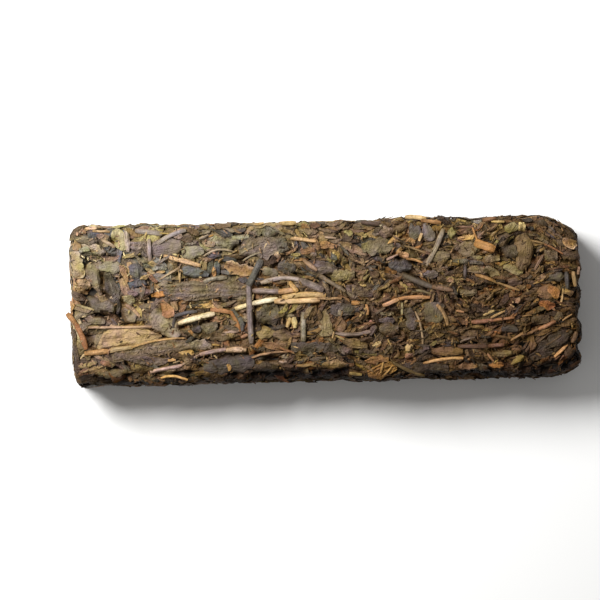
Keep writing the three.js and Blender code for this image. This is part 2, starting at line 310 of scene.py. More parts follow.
def drape(
    kind, grid, rise, thick, tint, size,
    highest=9.0, stiff=3, claims=False, spare=0.3, solid=False, loose=False, polish=None,
):
    """Lays a batch of leaves on the heap and keeps their corners for the kind's mesh."""
    base, normals = grid
    count, rows, columns, _ = base.shape
    fine_rows, fine_columns = spread_matrix(rows, FINER), spread_matrix(columns, FINER)
    fine = np.einsum("ai,nijc->najc", fine_rows, base)
    fine = np.einsum("bj,najc->nabc", fine_columns, fine)
    fine_cells = cells(settle(fine)[0])
    own_cells = cells(settle(base)[0])
    blur_rows, blur_columns = blur_matrix(rows), blur_matrix(columns).T
    v = np.linspace(-1, 1, columns)[None, :]
    body = 1 - EDGE_THINNING * v**4
    low, high, kept = [], [], []
    for n in range(count):
        below = heights[own_cells[n]]
        if below.mean() > highest or below.max() > highest + HIGHEST_SPOT:
            continue
        if not claims and claimed[own_cells[n]].mean() > spare:
            continue
        rest = below
        for _ in range(stiff):
            rest = np.maximum(below, blur_rows @ rest @ blur_columns)
        rest = (1 - BRIDGING) * below + BRIDGING * rest
        own = 0 if loose else rise[n]
        top = rest + own + thick[n] * body
        flat = fine_cells[n].ravel()
        heights[flat] = np.maximum(heights[flat], (fine_rows @ top @ fine_columns.T).ravel())
        if claims:
            claimed[flat] = True
        low.append(rest - OVERLAP + (0 if solid else own))
        high.append(top)
        kept.append(n)
    if not kept:
        return 0
    lifts = np.stack([np.stack(high), np.stack(low)], 1)
    # Painted light and shade: a leaf's raised parts are painted lighter, its low parts darker, and
    # its underside darker.
    own_rise = rise[kept]
    crest = (own_rise - own_rise.mean(axis=(1, 2), keepdims=True)) * CREST_SHADE
    crest = np.clip(crest, *CREST_LIMITS)
    shades = np.stack([np.exp(crest), np.full_like(crest, UNDERSIDE_SHADE)], 1)
    along = np.linspace(-0.5, 0.5, rows)[None, :, None] * size[0][kept][:, None, None]
    across = 0.5 * v[None] * size[1][kept][:, None, None]
    mark = draws_for_marks.uniform(0, 1, (len(kept), 1, 1))
    leaf = np.stack(np.broadcast_arrays(along, across, mark), -1)
    after = own_rise if loose else np.zeros_like(own_rise)
    if polish is None:
        smoothness = draws_for_polish.uniform(0, MOST_POLISH, len(kept))
    else:
        smoothness = np.full(len(kept), polish)
    batch = (base[kept], normals[kept], lifts, after, tint[kept], shades, leaf, smoothness)
    heap.setdefault(kind, []).append(batch)
    return len(kept)


# %% [markdown]
# ## The colours of dry tea
# From a step away the bar is dark brown. Close to, no two leaves match: greyish brown and olive
# most of all, some nearly black, a few straw, golden or reddish. Each kind below becomes one mesh,
# and a leaf's own tint is stored on its corners, because thousands of materials would be
# unworkable.

# %% Kinds of leaf and their tints, as sRGB values out of 255
KINDS = {
    "grey_leaves": [(114, 95, 72), (106, 90, 70)],
    "taupe_leaves": [(120, 98, 72), (102, 84, 64)],
    "olive_leaves": [(108, 90, 56), (118, 98, 62), (98, 80, 52)],
    "dark_leaves": [(78, 62, 44), (86, 70, 50), (68, 54, 40)],
    "slate_leaves": [(84, 75, 65), (92, 83, 74), (72, 65, 58)],
    "pale_leaves": [(140, 121, 82), (150, 127, 82), (136, 123, 74)],
    "brown_leaves": [(120, 92, 66), (124, 92, 58), (136, 100, 60), (108, 80, 56)],
}
KIND_SHARES = {
    "grey_leaves": 0.17,
    "taupe_leaves": 0.15,
    "olive_leaves": 0.2,
    "dark_leaves": 0.2,
    "slate_leaves": 0.09,
    "pale_leaves": 0.08,
    "brown_leaves": 0.11,
}
DARKER_RIGHT, DARKER_LOW = 0.36, 0.3
GREEN_DRIFT, BLUE_DRIFT = (-0.12, 0.08), (-0.31, 0.2)
GREEN_LOSS, BLUE_LOSS = 0.08, 0.3
DARK_SIDES = 0.36
LOWER_EDGE, RIGHT_EDGE, UPPER_EDGE = (0.86, 0.14), (0.985, 0.015), (0.87, 0.1)
UPPER_SHARE, UNDER_SHARE = 0.5, 0.15
FACING_UP = (-0.1, 0.9)
SIDE_PATCHES, SIDE_PATCH_REACH = 0.7, 3.2
PALER, PALER_REACH = 0.16, 9
WARMER_RED, LESS_BLUE, WARMER_REACH = 0.05, -0.1, 7
GREENER, GREENER_REACH = 0.04, 6
MASS_SHADE = np.array([0.83, 0.81, 0.735])
TONE_SPREAD, HUE_SPREAD = 0.12, 0.03


def linear(srgb):
    """A colour out of 255 as the linear values that shaders work in."""
    c = np.asarray(srgb, float) / 255
    return np.where(c <= 0.04045, c / 12.92, ((c + 0.055) / 1.055) ** 2.4)


def beyond(value, start, reach):
    """0 up to the start, then growing to 1 over the reach."""
    return smooth((value - start) / reach)


def local_shade(spots):
    """Painted shade: the bar is painted darker and browner to the right and below, where the light
    falls off, and darker still on the edges turned away from the light.
    """
    x, y, z = (spots / BED_HALF).T
    shade = np.exp(-DARKER_RIGHT * x + DARKER_LOW * y)
    edges = np.maximum(beyond(-y, *LOWER_EDGE), beyond(x, *RIGHT_EDGE))
    edges = np.maximum(edges, UPPER_SHARE * beyond(y, *UPPER_EDGE))
    turned_away = edges * (UNDER_SHARE + (1 - UNDER_SHARE) * beyond(z, *FACING_UP))
    # Painted shade on the edges turned away from the light, in uneven patches.
    kept = DARK_SIDES * np.exp(SIDE_PATCHES * soft_noise(spots, SIDE_PATCH_REACH, seed=8))
    sides = shade * (1 - (1 - np.minimum(kept, 1)) * turned_away)
    # The painted shade turns browner to the right, below and on the turned-away edges.
    green = np.exp(GREEN_DRIFT[0] * x + GREEN_DRIFT[1] * y) - GREEN_LOSS * turned_away
    blue = np.exp(BLUE_DRIFT[0] * x + BLUE_DRIFT[1] * y) - BLUE_LOSS * turned_away
    return np.stack([sides, sides * green, sides * blue], -1)


def drifting_tint(spots):
    """Over a few millimetres the tea turns from paler to darker and from reddish to greenish."""
    pale = soft_noise(spots, PALER_REACH, seed=5)
    warm = soft_noise(spots, WARMER_REACH, seed=6)
    green = soft_noise(spots, GREENER_REACH, seed=9)
    hue = 1 + np.stack([WARMER_RED * warm, GREENER * green, LESS_BLUE * warm], -1)
    return np.exp(PALER * pale)[:, None] * hue


# %% [markdown]
# ## Strewing
# Leaves are strewn over the whole bar, first large ones, then smaller and smaller. Near the edges
# and on the sides they lie lengthwise, as the mould's walls turned them. On the faces they point
# more freely. The count for each kind follows the shares above.

# %% Random places and headings on the bed
FACE_AXES = np.array([2, 2, 1, 1, 0, 0])
FACE_SIDES = np.array([1, -1, 1, -1, 1, -1])
SIDE_SPREAD, EDGE_SPREAD, MORE_SPREAD = 11, 18, 34
EDGE_REACH = 7
CALM_RIGHT, CALMING, CALMEST = 45, 60, 0.4
FLOW_REACH, OWN_SHARE = 13, 0.5


def random_places(count, draws, shown):
    """Places on the shown face or all over the rest, by area, and the way each leaf points."""
    a, b, c = BED_HALF
    areas = np.array([a * b, 0, 0, 0, 0, 0] if shown else [0, a * b, a * c, a * c, b * c, b * c])
    face = draws.choice(6, count, p=areas / areas.sum())
    points = draws.uniform(-1, 1, (count, 3)) * BED_HALF
    axis, side = FACE_AXES[face], FACE_SIDES[face]
    points[np.arange(count), axis] = side * BED_HALF[axis]
    spots, normals = settle(points)
    lengthwise = np.where(axis[:, None] == 0, [0.0, 1.0, 0.0], [1.0, 0.0, 0.0])
    from_edge = BED_HALF[1] - np.abs(spots[:, 1])
    from_right = (CALM_RIGHT - spots[:, 0]) / CALMING + CALMEST
    on_faces = EDGE_SPREAD + MORE_SPREAD * smooth(from_edge / EDGE_REACH) * smooth(from_right)
    free = np.where(axis == 2, on_faces, SIDE_SPREAD)
    flow = soft_noise(spots, FLOW_REACH, seed=21) + OWN_SHARE * draws.normal(0, 1, count)
    angles = np.radians(free) * flow
    flip = np.where(draws.uniform(size=count) < 0.5, math.pi, 0)
    headings = turned(level(lengthwise, normals), normals, angles + flip)
    return spots, normals, headings


SIZE_SLOPE = 0.34
SHOWN_SHARE, HIDDEN_SHARE = 0.42, 0.58
ROUNDS = 6
SIZES, THICKNESSES = (0.6, 1.4), (0.7, 1.3)
PLUMPEST = 0.8
BENDS, SLANTS = math.radians(32), math.radians(28)


def strew(
    name, count, long, wide, grid_size, thick, highest, draws,
    blunt=0.5, ragged=0.12, spare=0.3, loose=False, **form,
):
    """Strews one size of leaf in every kind of tint, and prints how many found room."""
    laid = 0
    for _ in range(ROUNDS):
        for kind, share in KIND_SHARES.items():
            for shown, part in ((True, 0 if loose else SHOWN_SHARE), (False, HIDDEN_SHARE)):
                rows, columns = grid_size
                if not shown:
                    rows, columns = rows // 4 * 2 + 3, max(columns - 2, 3)
                n = round(count * share * part / ROUNDS)
                if n == 0:
                    continue
                spots, normals, headings = random_places(n, draws, shown)
                here = np.exp(-SIZE_SLOPE * spots[:, 0] / BED_HALF[0])
                own_long = long * here * draws.uniform(*SIZES, n)
                own_wide = wide * here * draws.uniform(*SIZES, n)
                own_wide = np.minimum(own_wide, own_long * PLUMPEST)
                left = outline(n, rows, own_wide, blunt, ragged, draws)
                right = outline(n, rows, own_wide, blunt, ragged, draws)
                bend = BENDS * draws.normal(0, 1, n)
                slant = SLANTS * draws.normal(0, 1, n)
                grid = lay_out(
                    spots, normals, headings, own_long, bend, left, right, slant, columns
                )
                rise = surface(n, rows, columns, draws, own_wide, **form)
                tones = linear(np.array(KINDS[kind]))[draws.integers(len(KINDS[kind]), size=n)]
                tones = tones * np.exp(draws.normal(0, TONE_SPREAD, (n, 1)))
                tones = tones * (1 + draws.normal(0, HUE_SPREAD, (n, 3)))
                # local_shade paints shade on the tint: darker to the right, below and on
                # turned-away edges.
                tones = tones * local_shade(spots) * drifting_tint(spots) * MASS_SHADE
                own_thick = thick * draws.uniform(*THICKNESSES, n)
                sizes = (own_long, own_wide)
                laid += drape(
                    kind, grid, rise, own_thick, tones, sizes, highest, spare=spare, loose=loose
                )
    print(name, "laid:", laid)
    show_heights(name)


strew(
    "ground leaves", 900, 9.0, 4.0, (15, 9), 0.2, -0.8, rng,
    ragged=0.16, tilt=0.16, fold=0.15, ridges=0.11, turns=2.4, crumple=0.1,
)
strew(
    "middle leaves", 3200, 5.8, 2.3, (11, 7), 0.17, -0.35, rng,
    ragged=0.2, tilt=0.15, fold=0.2, ridges=0.1, turns=2.0, crumple=0.09,
)
strew(
    "long leaves", 1400, 8, 1.4, (15, 5), 0.16, -0.2, rng,
    ragged=0.18, tilt=0.14, fold=0.25, ridges=0.09, turns=1.5, crumple=0.08,
)

# %% [markdown]
# The sides and the underside have large leaves too, which the CAD solid shows in facets. The same
# rule places them here: a grid on each face whose every place, turn and size is a little off,
# drawn by a generator simple enough to give the same numbers everywhere.

# %% Large leaves on the sides and the underside
STREWN = [
    ((0, 0, -1), 7, 3, 13, 5.2, 50),
    ((0, -1, 0), 7, 2, 13, 3.2, 14),
    ((0, 1, 0), 7, 2, 13, 3.2, 14),
    ((-1, 0, 0), 2, 2, 12, 3.2, 20),
    ((1, 0, 0), 2, 2, 12, 3.2, 20),
]
PLACES_SEED = 7741
STREWN_JITTER = 0.5
STREWN_SIZES = (0.75, 1.15)
STREWN_GRID = (15, 9)
STREWN_SLIMNESS, STREWN_THICKNESS = 0.9, 0.2
STREWN_BLUNTNESS, STREWN_NICKS = 0.5, 0.1


def simple_draws(seed):
    """Park and Miller's generator."""
    state = seed
    while True:
        state = state * 16807 % 2147483647
        yield state / 2147483647


def place_strewn_leaves(draws):
    """The CAD model's strewn leaves, one batch for each leaf because their sizes differ."""
    drawn = simple_draws(PLACES_SEED)
    names = list(KINDS)
    rows, columns = STREWN_GRID
    form = dict(tilt=0.1, fold=0.12, ridges=0.08, turns=2.6, crumple=0.07)
    laid = 0
    for face, along, across, long, wide, spread in STREWN:
        normal = np.array(face, float)
        lengthwise = np.array([1.0, 0, 0]) if face[0] == 0 else np.array([0, 1.0, 0])
        crosswise = np.cross(normal, lengthwise)
        for i in range(along):
            for j in range(across):
                x = (i + 0.5 + STREWN_JITTER * (next(drawn) - 0.5)) / along * 2 - 1
                y = (j + 0.5 + STREWN_JITTER * (next(drawn) - 0.5)) / across * 2 - 1
                spot = (normal + lengthwise * x + crosswise * y) * BED_HALF
                spots, normals = settle(spot[None])
                turn = math.radians(spread) * (next(drawn) * 2 - 1)
                smallest, largest = STREWN_SIZES
                size = smallest + (largest - smallest) * next(drawn)
                headings = level(turned(lengthwise[None], normal[None], turn), normals)
                longs, wides = np.array([long * size]), np.array([wide * size * STREWN_SLIMNESS])
                left = outline(1, rows, wides, STREWN_BLUNTNESS, STREWN_NICKS, draws)
                right = outline(1, rows, wides, STREWN_BLUNTNESS, STREWN_NICKS, draws)
                straight = np.zeros(1)
                grid = lay_out(
                    spots, normals, headings, longs, straight, left, right, straight, columns
                )
                rise = surface(1, rows, columns, draws, wides, **form)
                kind = names[draws.integers(len(names))]
                # The same painted shade as the strewn leaves.
                tone = linear(KINDS[kind][0])[None] * local_shade(spots) * MASS_SHADE
                tone = tone * math.exp(draws.normal(0, TONE_SPREAD))
                thick = np.array([STREWN_THICKNESS])
                drape(kind, grid, rise, thick, tone, (longs, wides), stiff=4, claims=True)
                laid += 1
    print("large leaves on the sides and the underside:", laid)


place_strewn_leaves(np.random.default_rng(66))

# %% [markdown]
# ## The leaves and stalks that the photograph shows
# What makes this bar this one are its large leaves and pale stalks. Each is listed: from one end
# to the other on the shown face, in millimetres, with its width, its bow to the left and its
# colour. A style says how its sheet is formed.

# %% Leaves on the shown face
# Each colour is the leaf as it looks in the light, so it carries painted light and shade: lighter
# where the light catches it, darker where shade lies on it.
SHOWN_LEAVES = [
    ("cupped", (-56.9, 12.6), (-56.3, 6.4), 2.9, 0, (186, 168, 118)),
    ("flat", (-57.2, 15.2), (-56, 12.8), 1.6, 0, (156, 126, 80)),
    ("flat", (-56.6, 15.4), (-52.4, 14.7), 1.9, 0, (112, 98, 76)),
    ("flat", (-55.8, 12.8), (-53.6, 13), 1.8, 0, (170, 164, 132)),
    ("flat", (-54, 15.8), (-51.4, 16.2), 1.3, 0, (80, 80, 80)),
    ("flat", (-50.2, 13), (-47.8, 13.2), 1.6, 0, (98, 98, 94)),
    ("flat", (-52.8, 11.8), (-50.2, 12.2), 1.3, 0, (158, 144, 112)),
    ("cupped", (-47.8, 17.2), (-45.8, 12.6), 3.0, 0.2, (186, 178, 120)),
    ("plain", (-45.2, 17.2), (-44.9, 12.2), 1.2, 0, (196, 176, 144)),
    ("plain", (-53.4, 10), (-51.6, 4.2), 2.8, 0.2, (142, 128, 100)),
    ("plain", (-51.6, 9.4), (-46.6, 8.8), 3.0, 0.5, (160, 152, 118)),
    ("strip", (-49.6, 7.6), (-48, 0.8), 3.2, 0.4, (94, 86, 72)),
    ("flat", (-56.2, 5), (-53.6, 5), 2.3, 0, (182, 152, 112)),
    ("strip", (-58, 3.2), (-55, 1.6), 1.6, 0, (96, 78, 58)),
    ("rolled", (-54.2, 2.4), (-51.4, -1.2), 2.6, 0.3, (88, 80, 58)),
    ("rolled", (-52, 0.6), (-48.2, -0.6), 2.6, 0.4, (116, 104, 84)),
    ("rolled", (-47.2, 1.8), (-47.2, -2), 1.1, 0.5, (82, 74, 70)),
    ("strip", (-46.6, 6.2), (-45, 2.2), 2.0, 0, (168, 136, 102)),
    ("plain", (-44.6, 9.9), (-43.9, 6.4), 1.7, 0, (190, 160, 106)),
    ("flat", (-46.2, 11), (-42, 11.8), 1.0, 0.1, (182, 164, 104)),
    ("flat", (-43, 9.6), (-42, 4.5), 3.4, 0, (104, 100, 98)),
    ("flat", (-46.6, 1.6), (-43.6, 1), 2.0, 0, (186, 178, 126)),
    ("flat", (-45.2, 3), (-42.8, 2.6), 1.3, 0, (132, 108, 100)),
    ("flat", (-42, 2.8), (-39.4, 3), 1.2, 0, (140, 112, 100)),
    ("plain", (-46.4, -0.8), (-43.8, -3.8), 3.2, 0, (138, 122, 106)),
    ("plain", (-42.6, -0.2), (-38.6, -0.8), 2.2, 0.2, (110, 95, 78)),
    ("flat", (-54, -3.4), (-50.4, -3.6), 1.6, 0, (140, 130, 98)),
    ("plain", (-52.6, -8.9), (-51.2, -5.9), 1.7, 0.1, (146, 134, 98)),
    ("sail", (-51.4, -7.2), (-37.6, -7), 5.8, 0, (202, 176, 130)),
    ("plain", (-39.6, -1.4), (-33.6, -7.2), 5.2, 0.2, (158, 146, 114)),
    ("strip", (-49, -11.4), (-31, -8.8), 3.4, 0.5, (126, 112, 84)),
    ("strip", (-48.6, -11.8), (-36, -13.4), 2.0, -0.8, (116, 102, 90)),
    ("flat", (-52.2, -15.4), (-45.2, -15.2), 1.5, 0, (116, 108, 72)),
    ("flat", (-36.3, -12.7), (-34.5, -12.6), 0.8, 0, (240, 205, 126)),
    ("cupped", (-37.4, 1), (-35.2, -2.8), 2.5, 0.2, (182, 132, 98)),
    ("flat", (-35.2, 1.4), (-34, -1.4), 1.6, 0, (164, 132, 100)),
    ("flat", (-39.8, 2), (-36.6, 2.4), 1.6, 0.1, (196, 144, 66)),
    ("plain", (-39, 12.4), (-32.8, 13.6), 4.6, 0.2, (132, 115, 103)),
    ("plain", (-32.6, 11.6), (-27.6, 12.2), 2.8, 0, (154, 148, 114)),
    ("flat", (-38.6, 7.2), (-36.6, 7.8), 1.0, 0, (204, 170, 114)),
    ("rolled", (-32.6, 7.9), (-26.6, 6.6), 2.6, 0, (98, 98, 96)),
    ("strip", (-37, 3.4), (-17.9, 2.8), 4.6, 0.2, (122, 108, 88)),
    ("flat", (-27, 10.7), (-23.8, 11.3), 1.4, 0.2, (94, 86, 86)),
    ("plain", (-24.3, 10.2), (-20.2, 9.8), 1.4, 0.1, (60, 62, 68)),
    ("plain", (-24.6, 9.6), (-24.6, 6.3), 1.5, 0, (104, 108, 108)),
    ("flat", (-23.8, 7.4), (-21.2, 6.8), 1.4, 0, (100, 98, 94)),
    ("cupped", (-23, 8.5), (-16, 6.8), 3.1, -0.3, (182, 148, 100)),
    ("flat", (-26.4, 14.4), (-23.4, 14.2), 2.3, 0, (168, 160, 122)),
    ("flat", (-24.4, 13.8), (-19.6, 13.6), 2.4, 0, (136, 128, 102)),
    ("flat", (-21.2, 15.1), (-17.2, 15.2), 1.3, 0, (166, 164, 122)),
    ("flat", (-19.6, 12.2), (-10.8, 13), 4.6, 0, (128, 114, 94)),
    ("flat", (-14.2, 15.9), (-10.8, 15.9), 1.6, 0.1, (114, 108, 90)),
    ("flat", (-10.4, 14.6), (-9.2, 11.6), 2.6, 0, (104, 98, 82)),
    ("plain", (-14.3, 7.4), (-11, 6.4), 2.3, 0.2, (136, 128, 98)),
    ("flat", (-10.8, 8.2), (-6.8, 7.6), 2.8, 0, (88, 82, 74)),
    ("flat", (-11.4, 11.2), (-10, 9.9), 1.2, 0, (220, 190, 140)),
    ("flat", (-7.9, 10.7), (-5.6, 10.8), 1.0, 0, (168, 154, 98)),
    ("flat", (-5.6, 11.5), (-2.4, 11.9), 1.8, 0, (142, 104, 72)),
    ("strip", (-4.4, 8.2), (2.6, 7.2), 3.2, 0.2, (106, 92, 84)),
    ("flat", (-16, -2.4), (-10.8, -2.8), 4.6, 0, (94, 88, 74)),
    ("cupped", (-16.2, -6.4), (-11.6, -7), 2.8, 0, (150, 138, 84)),
    ("plain", (-12.2, -7.2), (-7.9, -7.4), 2.5, 0.1, (120, 102, 80)),
    ("strip", (-14.8, -9.3), (-10.2, -10.4), 1.6, 0.2, (140, 108, 72)),
    ("plain", (-21.3, -1.3), (-19, -6.2), 1.9, 0.2, (96, 98, 92)),
    ("flat", (-30.6, -3.8), (-29, -6.4), 2.2, 0, (74, 70, 68)),
    ("flat", (-28.4, -5.4), (-24.8, -5.2), 2.6, 0, (116, 108, 88)),
    ("plain", (-23, -7.7), (-23, -9.9), 1.7, 0, (146, 102, 64)),
    ("flat", (-31, -9.2), (-26.4, -9.4), 2.6, 0, (142, 132, 108)),
    ("plain", (-28.2, -14.4), (-16.6, -13.4), 4.2, 0.2, (66, 64, 62)),
    ("flat", (-16.6, -14.6), (-11.2, -14.6), 3.0, 0, (74, 68, 52)),
    ("flat", (-22.5, -13.8), (-22.2, -15.3), 0.9, 0, (206, 172, 98)),
    ("flat", (-8.2, -10.3), (2.8, -10.4), 2.5, 0, (72, 68, 60)),
    ("flat", (-10.8, -12.4), (-9, -12.4), 1.0, 0, (138, 132, 100)),
    ("drop", (-0.6, -0.1), (-0.1, -7.9), 3.3, 0, (148, 138, 102)),
    ("rolled", (3.2, -3.3), (3.3, -7.1), 3.0, 0, (116, 88, 62)),
    ("strip", (1, -1.9), (7.6, -2), 2.8, 0, (82, 78, 70)),
    ("flat", (3, -2), (3.2, -3.1), 0.9, 0, (172, 164, 130)),
    ("flat", (9.4, -5), (10.5, -4.9), 0.9, 0, (164, 116, 100)),
    ("rolled", (10, -7.9), (11.3, -5.7), 1.7, 0.1, (84, 72, 60)),
    ("strip", (3.6, -9), (9.2, -10.6), 1.8, -0.2, (120, 104, 64)),
    ("flat", (11.8, -4.6), (15.6, -4.6), 2.0, 0, (90, 80, 82)),
    ("flat", (12.2, -3), (15.4, -3.1), 1.0, 0, (132, 128, 92)),
    ("folded", (12, -7), (16.4, -6.8), 3.4, 0, (82, 68, 52)),
    ("flat", (18.6, -1.8), (19.8, -6.8), 2.6, 0.2, (84, 76, 74)),
    ("plain", (24.7, -0.6), (24.4, -5.6), 5.0, 0, (100, 94, 78)),
    ("cupped", (17.8, -11.4), (19.6, -9.8), 1.6, 0.2, (196, 178, 124)),
    ("flat", (17.8, -13.2), (20.2, -12.2), 1.4, 0, (168, 132, 100)),
    ("flat", (10.4, -10.4), (12.4, -9.6), 1.1, 0, (196, 180, 126)),
    ("flat", (8.6, -13.6), (14, -13.2), 1.8, 0.3, (146, 110, 72)),
    ("fan", (9.2, -16.4), (15.8, -15), 3.2, 0.2, (146, 114, 54)),
    ("flat", (-1.2, -14.4), (4.6, -14.4), 2.0, 0.1, (152, 134, 92)),
    ("flat", (2.9, -16.2), (4, -16.8), 0.9, 0, (176, 160, 134)),
    ("plain", (23.8, -11.6), (31, -11.9), 2.2, 0, (112, 88, 54)),
    ("strip", (16.6, -14.8), (27.6, -15.8), 2.2, 0, (44, 40, 32)),
    ("flat", (-1.6, 13.3), (2.8, 12.6), 1.6, 0.1, (172, 130, 86)),
    ("plain", (3, 13.3), (9.4, 10.8), 1.9, 0.2, (146, 120, 90)),
    ("flat", (4.4, 15.8), (6.4, 15.4), 1.2, 0, (158, 152, 92)),
    ("flat", (8.2, 14.9), (9.6, 14.7), 0.9, 0, (178, 160, 112)),
    ("flat", (12.4, 15), (15.6, 15.2), 2.6, 0, (138, 114, 96)),
    ("flat", (12.8, 17.5), (13, 16.6), 0.8, 0, (194, 184, 148)),
    ("flat", (8.3, 12.7), (15.6, 12.1), 3.4, 0.2, (128, 120, 84)),
    ("flat", (19.2, 15), (22, 15), 2.8, 0, (98, 92, 80)),
    ("plain", (22.8, 16.4), (24.4, 13), 2.8, 0, (118, 108, 98)),
    ("cupped", (16.2, 10.4), (19, 9.5), 1.4, 0, (194, 150, 110)),
    ("strip", (14.4, 8.1), (19.6, 7.3), 2.8, 0.2, (74, 72, 68)),
    ("flat", (1.2, 5.6), (6.6, 6.4), 2.7, 0.2, (150, 140, 98)),
    ("rolled", (1.2, 11), (2.6, 9.4), 1.4, 0, (96, 94, 92)),
    ("plain", (23.6, 9.4), (28.4, 10), 2.4, 0, (128, 116, 84)),
    ("flat", (22, 5.4), (25.6, 5.8), 1.9, 0, (108, 98, 92)),
    ("strip", (4.6, 3.2), (10.6, 1.2), 1.9, 0, (98, 82, 70)),
    ("flat", (13.6, 3.7), (14.6, 3), 0.7, 0, (168, 154, 72)),
    ("flat", (17, 4.5), (17.6, 3), 0.7, 0, (160, 142, 82)),
    ("flat", (12.4, 6.6), (13.4, 5.2), 1.1, 0, (158, 132, 84)),
    ("flat", (28, 15.2), (29.8, 15), 2.0, 0, (146, 142, 86)),
    ("flat", (34, 17.6), (35.8, 17.5), 0.9, 0, (138, 132, 118)),
    ("plain", (30.4, 11), (34.6, 11.6), 3.5, 0, (122, 108, 78)),
    ("flat", (33.2, 9.4), (35.8, 9.3), 1.0, 0, (140, 130, 94)),
    ("flat", (36.4, 8.9), (39.8, 9), 1.7, 0, (140, 126, 88)),
    ("strip", (29, 8.7), (36, 8), 1.3, 0, (92, 86, 76)),
    ("flat", (32.4, 6.4), (36.2, 6.6), 1.8, 0, (132, 114, 86)),
    ("flat", (36, 6.6), (39.6, 5.6), 1.9, 0, (128, 118, 80)),
    ("plain", (40.5, 6.9), (45, 5.7), 1.9, 0, (144, 136, 94)),
    ("plain", (45.7, 14.2), (45, 6.2), 4.2, 0.8, (116, 98, 64)),
    ("flat", (40.2, 11.4), (43.6, 9.4), 3.0, 0, (72, 64, 54)),
    ("flat", (41, 15.4), (44.4, 15.3), 1.8, 0, (134, 128, 76)),
    ("flat", (44.2, 15.7), (45.8, 15.6), 1.7, 0, (220, 206, 126)),
    ("flat", (50, 9.4), (53, 9.6), 3.0, 0, (114, 104, 70)),
    ("cupped", (54.2, 13.6), (57.2, 14.6), 2.6, 0, (204, 170, 116)),
    ("flat", (53.8, 10.6), (57.4, 11.2), 2.8, 0, (90, 75, 50)),
    ("plain", (51, 4.4), (54.4, 5.2), 2.3, 0, (84, 82, 70)),
    ("strip", (47.8, 4.2), (50.2, 4.8), 1.2, 0, (140, 116, 84)),
    ("plain", (48, 1.4), (53.4, 1), 3.2, 0.2, (122, 94, 64)),
    ("cupped", (51, 2.7), (53, -0.2), 2.2, 0.3, (178, 130, 78)),
    ("cupped", (48.4, -1.5), (52.2, -2.2), 1.9, -0.3, (172, 114, 68)),
    ("flat", (54.3, 1.4), (56.2, 0.6), 1.4, 0, (176, 148, 102)),
    ("plain", (41.6, 3.4), (44.8, 3.8), 1.9, 0, (108, 90, 70)),
    ("flat", (30.6, 1.4), (34.4, 1.6), 2.3, 0, (108, 100, 66)),
    ("flat", (27.6, 4), (29.2, 4.4), 1.3, 0, (166, 130, 100)),
    ("flat", (28.6, 1.2), (29.6, 1.1), 0.7, 0, (164, 98, 78)),
    ("cupped", (42.8, -0.2), (44.2, -0.9), 1.3, 0, (156, 124, 96)),
    ("rolled", (39.8, -6.8), (43.6, -7.2), 1.9, 0, (54, 52, 52)),
    ("flat", (32.8, -6.4), (35.8, -6.4), 0.8, 0, (138, 116, 78)),
    ("strip", (46.8, -5.8), (50.8, -4.4), 2.5, 0, (72, 60, 38)),
    ("flat", (52, -5.2), (53.8, -4), 1.7, 0, (106, 96, 72)),
    ("strip", (47.6, -12), (55.6, -8.3), 3.4, 0.4, (38, 34, 26)),
    ("strip", (46.2, -13.6), (51.4, -12.4), 2.2, 0.1, (46, 40, 36)),
    ("flat", (46.8, -8.6), (46.6, -12), 1.8, 0, (104, 82, 44)),
    ("flat", (54.6, -11.2), (55.6, -15.6), 2.4, 0, (56, 40, 22)),
    ("flat", (38.6, -12.7), (42, -12.4), 1.5, 0, (126, 116, 74)),
    ("plain", (41.8, -15), (44.8, -13.2), 1.5, 0.2, (140, 130, 74)),
    ("cupped", (36.8, -15.2), (40.2, -15.2), 1.3, 0, (172, 128, 72)),
    ("flat", (29.8, -15.4), (34.2, -15.4), 1.5, 0, (134, 108, 74)),
]
